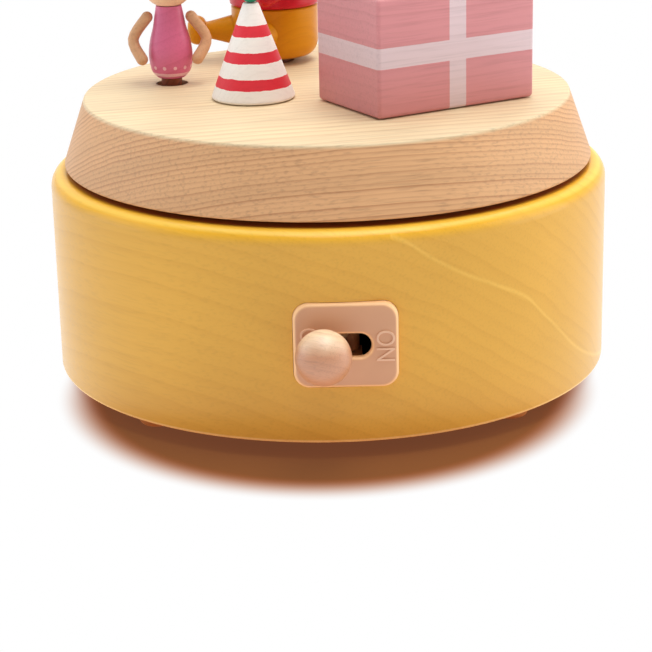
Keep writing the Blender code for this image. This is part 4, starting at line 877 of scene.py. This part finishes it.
# %% Lever and ball
BALL_R = 5.7 * MM
BALL_FLAT_FROM = 82
STEM_R = 1.6 * MM
STEM_END_ROUND = 0.4 * MM
STEM_SHORT = 0.3 * MM
HUB_R = 3.0 * MM
HUB_EDGE = 0.4 * MM
IN_HUB = 2 * MM
FINGER_R = 1.5 * MM
SOCKET_ROOM = 0.3 * MM
socket_r = STEM_R + SOCKET_ROOM
ball_centre = middle("switch_ball")
outwards = ball_centre - pin
outwards.z = 0
reach = outwards.length - STEM_SHORT
outwards.normalize()

hub_half = round_box("switch_lever")[2] / 2
hub_outline = [(PIN_R, hub_half), (HUB_R - HUB_EDGE, hub_half), (HUB_R, hub_half - HUB_EDGE)]
hub_outline += [(r, -h) for r, h in reversed(hub_outline)]
lever = lathe("lever", hub_outline, pin, 48, closed=True)
stem_outline = [(0, IN_HUB), (STEM_R, IN_HUB), (STEM_R, reach - STEM_END_ROUND),
                (STEM_R - STEM_END_ROUND, reach), (0, reach)]
weld(lever, lathe("stem", stem_outline, pin, 32, outwards))
finger_outline = [(0, IN_HUB), (FINGER_R, IN_HUB)] + in_mm((1.5, 11.4), (0.9, 12), (0, 12))
weld(lever, lathe("finger", finger_outline, pin, 4, -outwards))
hand_over(lever, beige_plastic, "switch", "beige_plastic", "switch_lever")

mouth = degrees(asin(socket_r / BALL_R))
ball_outline = [(0, 0.2 * MM), (socket_r, 0.2 * MM)]
ball_outline += bow(0, 0, BALL_R, -90 + mouth, BALL_FLAT_FROM, 30)
ball_outline += [(0, BALL_R * sin(radians(BALL_FLAT_FROM)))]
ball = lathe("ball", ball_outline, ball_centre, FINE_STEPS, outwards)
hand_over(ball, ball_wood, "switch", "ball_wood", "switch_ball", soft_edge=50)

# %% [markdown]
# ## The cone, its bead and the gift
# A turned cone with a broken lower edge has a green bead glued on its tip, on a small flat. The gift is a
# sawn block with softly sanded edges, painted pink, with pale ribbons painted over it. Its own grain runs
# level along the long side.

# %% Cone, bead and gift
CONE_TIP_R = 1.8 * MM
CONE_EDGE = 0.5 * MM
BEAD_R = 2.2 * MM
GIFT_LONG = 39.7 * MM
GIFT_DEEP = 25.4 * MM
GIFT_EDGE = 0.9 * MM
cone_foot, cone_r, cone_h = round_box("cone_body")
cone_outline = [(0, cone_h), (CONE_TIP_R - 0.2 * MM, cone_h), (CONE_TIP_R, cone_h - 0.3 * MM)]
cone_outline += bow(cone_r - CONE_EDGE, CONE_EDGE, CONE_EDGE, 20, -90, 5)
cone = lathe("cone", cone_outline + [(0, 0)], cone_foot, 96)
hand_over(cone, cone_paint, "stage", "white_painted_wood", "cone_body")

bead_centre = Vector((cone_foot.x, cone_foot.y, top_of("cone_bead") - BEAD_R))
seat = bead_centre.z - floor_of("cone_bead")
bead_outline = [(0, -seat)] + bow(0, 0, BEAD_R, -degrees(asin(min(1, seat / BEAD_R))), 90, 20)
bead = lathe("bead", bead_outline, bead_centre, 48)
hand_over(bead, green_paint, "stage", "green_painted_wood", "cone_bead", soft_edge=50)

gift_half = Vector((GIFT_LONG, GIFT_DEEP, round_box("gift_box")[2])) / 2
gift = block("gift", gift_centre - gift_half, gift_centre + gift_half, GIFT_TURN, gift_centre)
round_off(gift, GIFT_EDGE, 5)
hand_over(gift, gift_paint, "stage", "pink_painted_wood", "gift_box")

# %% [markdown]
# ## Two dolls on posts
# Each doll stands on a brown post that comes up through the stage and spins with it. Both are plain turned
# dolls: a ball head, a hair cap, a turned body and round arms. A doll's own directions are out, forward
# and up, so one helper turns them into places.

# %% Posts, bushes and the doll's directions
POST_EDGE = 0.2 * MM
POST_ROOM = 0.3 * MM
SIDES = ((-1, "right"), (1, "left"))


class Doll:
    """Where a doll stands and which way it faces."""

    def __init__(self, which, facing):
        self.which = which
        self.body = f"{which}_doll"
        self.foot = middle(f"{which}_post")
        self.foot.z = stage_top
        self.forward = Vector((cos(facing), sin(facing), 0))
        self.out = Vector((-self.forward.y, self.forward.x, 0))

    def spot(self, out, forward, up):
        """A place from distances in millimetres."""
        return self.foot + (self.out * out + self.forward * forward + UP * up) * MM


def above_stage(node):
    """How far over the stage a node starts, and its height."""
    return floor_of(node) - stage_top, top_of(node) - floor_of(node)


small = Doll("small", radians(-90))
large = Doll("large", radians(217))
for doll in (small, large):
    spot, r, high = round_box(f"{doll.which}_post")
    post_outline = [(0, high), (r - POST_EDGE, high), (r, high - POST_EDGE), (r, 0), (0, 0)]
    post = lathe(f"{doll.body}_post", post_outline, spot, 40)
    hand_over(post, post_stain, doll.body, "post_brown", f"{doll.which}_post")
    bush_foot, outer, high = round_box(f"{doll.which}_post_bush")
    spot.z = bush_foot.z
    inner = r + POST_ROOM
    bush = lathe(f"{doll.body}_bush", [(inner, high), (outer, high), (outer, 0), (inner, 0)], spot, 40,
                 closed=True)
    hand_over(bush, post_stain, "stage", "post_brown", f"{doll.which}_post_bush")

# %% [markdown]
# ### Arms
# An arm is a soft tube that is thicker at the shoulder and ends in a rounded mitten. A curve with a bevel
# does this well: its points carry their own radius. It is made a mesh at once, so that its place is real.

# %% Bend an arm
DOMES = [(0.98, 0.2), (0.87, 0.5), (0.7, 0.71), (0.42, 0.91), (0.12, 0.99)]


def tube(name, line, thickness, resolution):
    """A round tube along (x, y, z, radius) points, as a mesh."""
    put_down()
    curve = bpy.data.curves.new(name, "CURVE")
    curve.dimensions = "3D"
    curve.bevel_depth = thickness
    curve.bevel_resolution = resolution
    curve.use_fill_caps = True
    spline = curve.splines.new("POLY")
    spline.points.add(len(line) - 1)
    for point, (x, y, z, r) in zip(spline.points, line):
        point.co = (x, y, z, 1)
        point.radius = r
    piece = bpy.data.objects.new(name, curve)
    bpy.context.scene.collection.objects.link(piece)
    pick_up(piece)
    bpy.ops.object.convert(target="MESH")
    piece = bpy.context.object
    merge_and_face_out(piece)
    return piece


def arm(doll, side, word, bends, finish, slot):
    """A limb along smooth (out, forward, up, radius) points, closed by domes; side mirrors it."""
    line = flowing([(*doll.spot(side * out, forward, up), r * MM) for out, forward, up, r in bends], 5)
    start, after, before, end = [Vector(line[i][:3]) for i in (0, 1, -2, -1)]
    back, ahead = (start - after).normalized(), (end - before).normalized()
    start_r, end_r = line[0][3], line[-1][3]
    first = [(*(start + back * start_r * far), start_r * share) for share, far in reversed(DOMES)]
    last = [(*(end + ahead * end_r * far), end_r * share) for share, far in DOMES]
    limb = tube(f"{doll.body}_{word}_arm", first + line + last, 1.0, 6)
    hand_over(limb, finish, doll.body, slot, f"{doll.which}_arm_{word}", soft_edge=60)


print("an arm's dome has", len(DOMES), "rings")

# %% [markdown]
# ### A doll's face and hair
# The faces are this lesson's own: two small dark eyes, a calm short mouth and soft cheeks. Eyes and mouth
# are little raised shapes, as drops of paint are, and the cheeks are tinted into the head's finish. Sizes
# are shares of the head's radius. The hair is a cap that is tilted back over the head.

# %% Faces and hair
eye_paint = plastic("eye_paint", screen(58, 34, 26), 0.25, mottle=0.1)
mouth_paint = plastic("mouth_paint", screen(176, 84, 74), 0.35, mottle=0.1)
CHEEK_FORWARD, CHEEK_OUT, CHEEK_DOWN = 0.82, 0.5, 0.24
EYE_OUT, EYE_UP = 0.36, 0.04
EYE_R = 0.1
EYE_FLATNESS = 0.45
MOUTH_THICK = 0.024
MOUTH_HALF = 14
MOUTH_DOWN, MOUTH_CURVE = 0.34, 0.05
HAIR_TILT = radians(28)
HAIR_HEM = -10
HAIR_ROOM = 0.35 * MM


def rosy(doll, centre, radius):
    """Doll wood with two soft cheeks."""
    def colours(tree):
        ground = screen(236, 196, 160)
        for side, _ in SIDES:
            towards = doll.forward * CHEEK_FORWARD + doll.out * side * CHEEK_OUT - UP * CHEEK_DOWN
            far = distance(tree, place_in_piece(tree), centre + towards.normalized() * radius)
            share = steps_of(tree, sums(tree, "DIVIDE", far, radius), [(0.1, 0.55), (0.3, 0.0)])
            ground = blend(tree, share, ground, screen(232, 138, 122))
        return ground

    return wood(f"{doll.body}_skin", colours, screen(226, 208, 196), 0.5, fibre=88, tilt=15, gap=1.6,
                lines=0.3)


def face(doll, centre, radius):
    dome = [(r, h * EYE_FLATNESS) for r, h in [(0, 0)] + bow(0, 0, radius * EYE_R, 0, 90, 5)]
    for side, word in SIDES:
        towards = (doll.forward + doll.out * side * EYE_OUT + UP * EYE_UP).normalized()
        eye = lathe(f"{doll.body}_{word}_eye", dome, centre + towards * (radius * 0.992), 20, towards)
        hand_over(eye, eye_paint, doll.body, "hair_brown_paint")
    smile = []
    for i in range(9):
        a = radians(MOUTH_HALF * (i / 4 - 1))
        drop = MOUTH_DOWN + MOUTH_CURVE * cos(a * 6)
        towards = (doll.forward * cos(a) + doll.out * sin(a) - UP * drop).normalized()
        smile.append((*(centre + towards * radius * 0.998), 1.0))
    mouth = tube(f"{doll.body}_mouth", smile, radius * MOUTH_THICK, 4)
    hand_over(mouth, mouth_paint, doll.body, "red_paint")


def hair(doll, centre, radius, thickness):
    axis = UP * cos(HAIR_TILT) - doll.forward * sin(HAIR_TILT)
    inner = radius + HAIR_ROOM
    outer = inner + thickness
    hem_r, hem_z = bow(0, 0, (inner + outer) / 2, HAIR_HEM, HAIR_HEM, 1)[0]
    outline = bow(0, 0, outer, 90, HAIR_HEM, 22)
    outline += bow(hem_r, hem_z, thickness / 2, HAIR_HEM, HAIR_HEM - 180, 6)[1:-1]
    outline += bow(0, 0, inner, HAIR_HEM, 90, 22)
    cap = lathe(f"{doll.body}_hair", outline, centre, 72, axis)
    hand_over(cap, hair_paint, doll.body, "hair_brown_paint", f"{doll.which}_hair", soft_edge=60)


def head(doll, radius, neck_r, neck_up, hair_thick):
    """A ball with a flat where it sits on the neck, a face and hair."""
    lift = sqrt(radius ** 2 - neck_r ** 2)
    centre = doll.foot + UP * (neck_up + lift)
    skin_paint = rosy(doll, centre, radius)
    outline = [(0, -lift)] + bow(0, 0, radius, -degrees(asin(lift / radius)), 90, 28)
    ball = lathe(f"{doll.body}_head", outline, centre)
    hand_over(ball, skin_paint, doll.body, "doll_wood", f"{doll.which}_head", soft_edge=50)
    face(doll, centre, radius)
    hair(doll, centre, radius, hair_thick)


print("faces: two eyes, a mouth and two cheeks each")

# %% [markdown]
# ### The small doll
# Its body is one turned drop shape: narrow shoulders, round hips and a waist drawn in above the post. The
# dress is pink with a paler hem and a ring of dots. Head and neck meet with a hair's gap of glue.

# %% Dress
HEM = (2.1 * MM, 2.9 * MM)
DOTS = 12
DOTS_UP = 4.2 * MM
DOT_RING_R = 4.9 * MM
DOT_R = 0.42 * MM
HIP_R = 5.0 * MM
NECK_R = 2.9 * MM
NECK_GAP = 0.2 * MM
SMALL_HEAD_R = 6.2 * MM
SMALL_HAIR = 1.0 * MM
SMALL_ARM = [(5.0, 0.3, 15.3, 1.3), (8.3, 0.8, 10.4, 1.25), (6.3, 3.2, 6.2, 1.35)]


def dress_colours(tree):
    out_x, out_y, height = axes(tree, vectors(tree, "SUBTRACT", wobbling_place(tree, 0.2 * MM), small.foot))
    around = sums(tree, "ARCTAN2", out_y, out_x)
    beat = sums(tree, "FRACT", times(tree, around, DOTS / (2 * pi)))
    along = times(tree, minus(tree, beat, 0.5), 2 * pi * DOT_RING_R / DOTS)
    dots = sums(tree, "LESS_THAN", slant(tree, along, minus(tree, height, DOTS_UP)), DOT_R)
    pale = sums(tree, "MAXIMUM", band(tree, height, *HEM), dots)
    return blend(tree, pale, screen(222, 110, 148), screen(244, 190, 200))


dress_paint = wood("dress_paint", dress_colours, screen(226, 200, 206), 0.4, fibre=88, tilt=20, gap=1.8,
                   lines=0.3, fibres=0.3, coat=0.15, bump=0.1)
lift, dress_h = above_stage("small_dress")
sides = [(NECK_R, dress_h), (HIP_R * 0.66, dress_h * 0.87), (HIP_R * 0.76, dress_h * 0.7),
         (HIP_R * 0.93, dress_h * 0.5), (HIP_R, dress_h * 0.3), (HIP_R * 0.9, dress_h * 0.1), (3.2 * MM, 0)]
post_socket = in_mm((2.7, 0), (2.7, 2.7), (0, 2.7))
dress_outline = [(0, dress_h)] + flowing(sides) + post_socket
dress = lathe("dress", dress_outline, small.foot + UP * lift)
hand_over(dress, dress_paint, "small_doll", "dress_pink_paint", "small_dress")
head(small, SMALL_HEAD_R, NECK_R, lift + dress_h + NECK_GAP, SMALL_HAIR)
for side, word in SIDES:
    arm(small, side, word, SMALL_ARM, doll_wood, "doll_wood")

# %% [markdown]
# ### The large doll
# It sits on the stage with its legs out in a V: mustard trousers with a round seat, two turned legs with
# ball shoes, and a red jumper that narrows to the neck.

# %% Trousers and jumper
BODY_R = 10.3 * MM
BODY_EDGE = 0.3 * MM
LARGE_NECK_R = 5.2 * MM
lift, seat_h = above_stage("large_trousers")
seat_side = flowing([(BODY_R, 4.2 * MM), (BODY_R * 0.96, 2.3 * MM), (BODY_R * 0.84, 0.7 * MM), (6.5 * MM, 0)])
seat_outline = [(0, seat_h), (BODY_R - BODY_EDGE, seat_h), (BODY_R, seat_h - BODY_EDGE)] + seat_side
seat_outline += in_mm((3.3, 0), (3.3, 3.5), (0, 3.5))
trousers = lathe("trousers", seat_outline, large.foot + UP * lift, 96)
hand_over(trousers, mustard_paint, "large_doll", "mustard_paint", "large_trousers")

lift, jumper_h = above_stage("large_jumper")
jumper_side = flowing([(LARGE_NECK_R, jumper_h), (BODY_R * 0.68, jumper_h * 0.86),
                       (BODY_R * 0.86, jumper_h * 0.6), (BODY_R * 0.98, jumper_h * 0.3),
                       (BODY_R + BODY_EDGE, 1.6 * MM), (BODY_R + BODY_EDGE, 0.4 * MM),
                       (BODY_R - 0.1 * MM, 0)])
jumper = lathe("jumper", [(0, jumper_h)] + jumper_side + [(0, 0)], large.foot + UP * lift, 96)
hand_over(jumper, red_paint, "large_doll", "red_paint", "large_jumper")

# %% [markdown]
# Each leg is turned on its own slanting axis and scooped out where it meets the round body. The shoe is a
# soft ball at its end. The arms hang from the shoulders and bend forward over the knees.

# %% Legs, shoes, arms and head
LEG_UP = 7.6 * MM
LEG_SPREAD = radians(37)
LEG_START = 8.4 * MM
LEG_LONG = 8.0 * MM
HIP_ROOM = 0.05 * MM
HIP_HIGH = 30 * MM
SHOE_LONG = 4.4 * MM
SHOE_GAP = 0.02 * MM
LARGE_HEAD_R = 9.0 * MM
LARGE_HAIR = 1.3 * MM
LARGE_ARM = [(10.4, 0.5, 27.9, 2.3), (13.0, 3.5, 21.4, 2.25), (10.6, 10.0, 17.5, 2.2)]
leg_side = flowing([(4.0 * MM, 0), (2.9 * MM, LEG_LONG * 0.5), (2.1 * MM, LEG_LONG * 0.9),
                    (2.0 * MM, LEG_LONG)], 4)
shoe_side = flowing([(1.75 * MM, SHOE_LONG), (3.0 * MM, SHOE_LONG * 0.83), (3.5 * MM, SHOE_LONG * 0.5),
                     (3.0 * MM, SHOE_LONG * 0.17), (2.0 * MM, 0)])
for side, word in SIDES:
    a = side * LEG_SPREAD
    towards = large.forward * cos(a) + large.out * sin(a)
    hip = large.foot + UP * LEG_UP + towards * LEG_START
    leg = lathe(f"large_doll_{word}_leg", [(0, 0)] + leg_side + [(0, LEG_LONG)], hip, 48, towards)
    bore(leg, BODY_R + HIP_ROOM, large.foot, stage_top, stage_top + HIP_HIGH, 96)
    hand_over(leg, mustard_paint, "large_doll", "mustard_paint", f"large_leg_{word}")
    shoe = lathe(f"large_doll_{word}_shoe", [(0, SHOE_LONG)] + shoe_side + [(0, 0)],
                 hip + towards * (LEG_LONG + SHOE_GAP), 48, towards)
    hand_over(shoe, mustard_paint, "large_doll", "mustard_paint", f"large_shoe_{word}", soft_edge=50)
    arm(large, side, word, LARGE_ARM, red_paint, "red_paint")
head(large, LARGE_HEAD_R, LARGE_NECK_R, lift + jumper_h + NECK_GAP, LARGE_HAIR)

# %% [markdown]
# ## The key
# A wound spring needs a key. This one is a flat steel butterfly with a round hub, pressed on the arbor. Its
# wings are one tile with rounded ends, softened all round. The short flat left at each end keeps the outline
# free of slivers, which a Boolean cut can turn into an empty mesh.

# %% Key
KEY_TURN = radians(20)
KEY_SPAN = 28.0 * MM
WING_HIGH = 5.4 * MM
WING_THICK = 1.8 * MM
WING_FLAT = 0.8 * MM
WING_EDGE = 0.45 * MM
ARBOR_HOLE_R = 2.2 * MM
ARBOR_HOLE_FROM = 1.7 * MM
key_z = floor_of("winding_key")
wings = rounded_face("key", KEY_SPAN, WING_HIGH, (WING_HIGH - WING_FLAT) / 2)
stand_up(wings, (0, -WING_THICK / 2, key_z + WING_HIGH / 2), WING_THICK)
round_off(wings, WING_EDGE, 3)
wings.matrix_world = Matrix.Translation(drum_axis) @ Matrix.Rotation(KEY_TURN, 4, "Z")
settle(wings)
key_hub = in_mm((0, 0), (3.4, 0), (4.0, 0.6), (4.0, 5.4), (3.4, 6.0), (0, 6.0))
weld(wings, lathe("hub", key_hub, drum_axis + UP * key_z, 48))
bore(wings, ARBOR_HOLE_R, drum_axis, key_z + ARBOR_HOLE_FROM, key_z + 9 * MM)
hand_over(wings, steel, "key", "steel", "winding_key")

# %% [markdown]
# ## The works inside
# The movement keeps its modelled shapes: a cast bed, a spring barrel with its crown of teeth, a pinned
# cylinder, a steel comb, gears and the governor. Each part gets the finish of what it is made from.

# %% Finish the movement
INNER_FINISHES = [
    (zinc, ["bed_plate"]), (comb_steel, ["comb"]), (dark_plastic, ["governor_case"]),
    (brass, ["spring_barrel", "barrel_cover", "pin_cylinder", "cylinder_pinion", "deck_bush"]),
    (gear_plastic, ["cylinder_gear", "sun_gear", "small_planet_gear", "large_planet_gear"]),
    (steel, ["mainspring", "cylinder_axle", "comb_screw_1", "comb_screw_2", "governor_pinion",
             "output_shaft", "winding_arbor", "switch_pin"] + SCREWS),
]
for finish, nodes in INNER_FINISHES:
    for node in nodes:
        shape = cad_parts[node]
        shape.data.materials.clear()
        shape.data.materials.append(finish)
print("finished in place:", sum(len(nodes) for _, nodes in INNER_FINISHES))

# %% [markdown]
# ## The studio
# The photograph is a product shot on a bright white sweep. The sweep itself lights the toy from below, and a
# short, warm painted shadow lies in the floor's finish under the drum and towards the front. So the floor
# glows white, except in that painted shadow and in a narrow ring of painted contact shadow where the toy
# stands. There it is dark brown matt with a faint warm glow of its own, a painted bounce of light from the
# yellow wood above it, and the painted shadow's edge turns reddish as it fades. The glow that the toy gets is
# stronger than the one the camera sees. From below the floor is clear, which leaves the underside open to
# view.

# %% Floor
# The shadow spot and the contact ring below are a painted shadow in the floor's finish.
SHADE_CENTRE = drum_axis - Vector((1 * MM, 15.5 * MM, 0))
SHADE_WIDE = 0.89
SHADE_CORE = 56.8 * MM
SHADE_END = 69.0 * MM
CONTACT_CORE = 52 * MM
CONTACT_END = 62 * MM
FLOOR_GLOW = 1.4
SHADE_GLOW = 4.3
# The painted shadow's dark brown tone, and its warm glow as painted bounce light.
PAINTED_SHADOW_TONE = (0.14, 0.05, 0.012, 1)
BOUNCE_GLOW_TONE = (0.11, 0.046, 0.022, 1)
FRINGE_GREEN, FRINGE_BLUE = 0.4, 0.6
put_down()
bpy.ops.mesh.primitive_plane_add(size=6, location=(0, 0, 0))
floor = bpy.context.object
floor.name = "floor"
floor_finish = bpy.data.materials.new("white_floor")
floor_finish.use_nodes = True
tree = floor_finish.node_tree
tree.nodes.clear()
seen = add(tree, "LightPath", {}).outputs["Is Camera Ray"]


def outside(centre, core, end, wide=1.0):
    """0 within the core of a spot on the floor, 1 beyond its end; wide is its width against its depth."""
    from_centre = vectors(tree, "SUBTRACT", place_in_piece(tree), centre)
    pulled = vectors(tree, "MULTIPLY", from_centre, (1 / wide, 1, 1))
    return add(tree, "MapRange", {"Value": distance(tree, pulled, (0, 0, 0)), "From Min": core,
                                  "From Max": end}, interpolation_type="SMOOTHSTEP").outputs[0]


def glow(colour, to_toy):
    """Light at full strength for the camera and at its own strength for the toy."""
    strength = plus(tree, times(tree, seen, 1.0 - to_toy), to_toy)
    return add(tree, "Emission", {"Color": colour, "Strength": strength}).outputs[0]


away = times(tree, outside(SHADE_CENTRE, SHADE_CORE, SHADE_END, SHADE_WIDE),
             outside(drum_axis, CONTACT_CORE, CONTACT_END))
# Inside the painted shadow the floor is dark brown matt, with a warm glow that stands for bounce light from
# the drum.
painted_shadow_matt = add(tree, "BsdfDiffuse", {"Color": PAINTED_SHADOW_TONE}).outputs[0]
shade = add(tree, "AddShader", {0: painted_shadow_matt, 1: glow(BOUNCE_GLOW_TONE, SHADE_GLOW)}).outputs[0]
fringe = add(tree, "CombineXYZ", {0: 1.0, 1: sums(tree, "POWER", away, FRINGE_GREEN),
                                  2: sums(tree, "POWER", away, FRINGE_BLUE)}).outputs[0]
sweep = add(tree, "MixShader", {0: away, 1: shade, 2: glow(fringe, FLOOR_GLOW)}).outputs[0]
below = add(tree, "NewGeometry", {}).outputs["Backfacing"]
clear = add(tree, "BsdfTransparent", {}).outputs[0]
one_sided = add(tree, "MixShader", {0: below, 1: sweep, 2: clear}).outputs[0]
add(tree, "OutputMaterial", {0: one_sided})
floor.data.materials.append(floor_finish)
print("floor: a white sweep, its shade centred at", [round(v / MM, 1) for v in SHADE_CENTRE], "mm")

# %% [markdown]
# A large soft box stands above and behind, another one high and a little in front, and two smaller ones at
# the sides, the right one stronger. The room itself is dim for the light it gives and white where it is
# seen or mirrored.

# %% Lights
ROOM_LIGHT = 0.34
AIM = Vector((0, 0.007, 0.045))
SOFT_BOXES = {
    "top_box": ((0.05, 0.35, 0.85), (0.9, 0.7), 5.0, (1.0, 0.99, 0.95)),
    "left_box": ((-0.75, 0.05, 0.32), (0.5, 0.7), 1.15, (0.8, 1.0, 1.16)),
    "right_box": ((0.75, 0.02, 0.32), (0.5, 0.7), 2.4, (0.95, 1.0, 0.92)),
    "front_box": ((0.1, -0.15, 0.95), (0.6, 0.5), 4.5, (1.0, 0.99, 0.97)),
}
world = bpy.data.worlds.new("studio")
bpy.context.scene.world = world
world.use_nodes = True
tree = world.node_tree
tree.nodes.clear()
room = add(tree, "Background", {"Color": (1, 0.96, 0.92, 1), "Strength": ROOM_LIGHT}).outputs[0]
white = add(tree, "Background", {"Color": (1, 1, 1, 1), "Strength": 1.0}).outputs[0]
rays = add(tree, "LightPath", {}).outputs
mirrored = sums(tree, "MAXIMUM", rays["Is Glossy Ray"], rays["Is Transmission Ray"])
looked_at = sums(tree, "MAXIMUM", rays["Is Camera Ray"], mirrored)
either = add(tree, "MixShader", {0: looked_at, 1: room, 2: white}).outputs[0]
add(tree, "OutputWorld", {0: either})
for name, (spot, size, power, colour) in SOFT_BOXES.items():
    put_down()
    bpy.ops.object.light_add(type="AREA", location=spot)
    lamp = bpy.context.object
    lamp.name = name
    lamp.data.shape = "RECTANGLE"
    lamp.data.size, lamp.data.size_y = size
    lamp.data.energy = power
    lamp.data.color = colour
    lamp.rotation_euler = (AIM - Vector(spot)).to_track_quat("-Z", "Y").to_euler()
    print(name, "at", spot, "m")

# %% [markdown]
# ## The camera
# The camera was fitted to the photograph: a long lens about 46 cm in front of the drum, looking down by
# 18 degrees, turned on itself by a little more than a degree.

# %% Camera
CAMERA_AT = Vector((-1.24, -455.4, 162.1)) * MM
LOOKS_AT = Vector((-1.24, 6.69, 8.15)) * MM
ROLL = radians(1.27)
LENS = 115.38
put_down()
bpy.ops.object.camera_add(location=CAMERA_AT)
camera = bpy.context.object
camera.name = "camera"
ahead = (LOOKS_AT - CAMERA_AT).normalized()
level = ahead.cross(UP).normalized()
upright = level.cross(ahead)
right = level * cos(ROLL) - upright * sin(ROLL)
above = level * sin(ROLL) + upright * cos(ROLL)
camera.matrix_world = Matrix((right, above, -ahead)).transposed().to_4x4()
camera.location = CAMERA_AT
camera.data.lens = LENS
camera.data.sensor_width = 36.0
bpy.context.scene.camera = camera
bpy.context.scene.view_settings.view_transform = "Standard"
print("camera", round((LOOKS_AT - CAMERA_AT).length / MM), "mm from its aim")
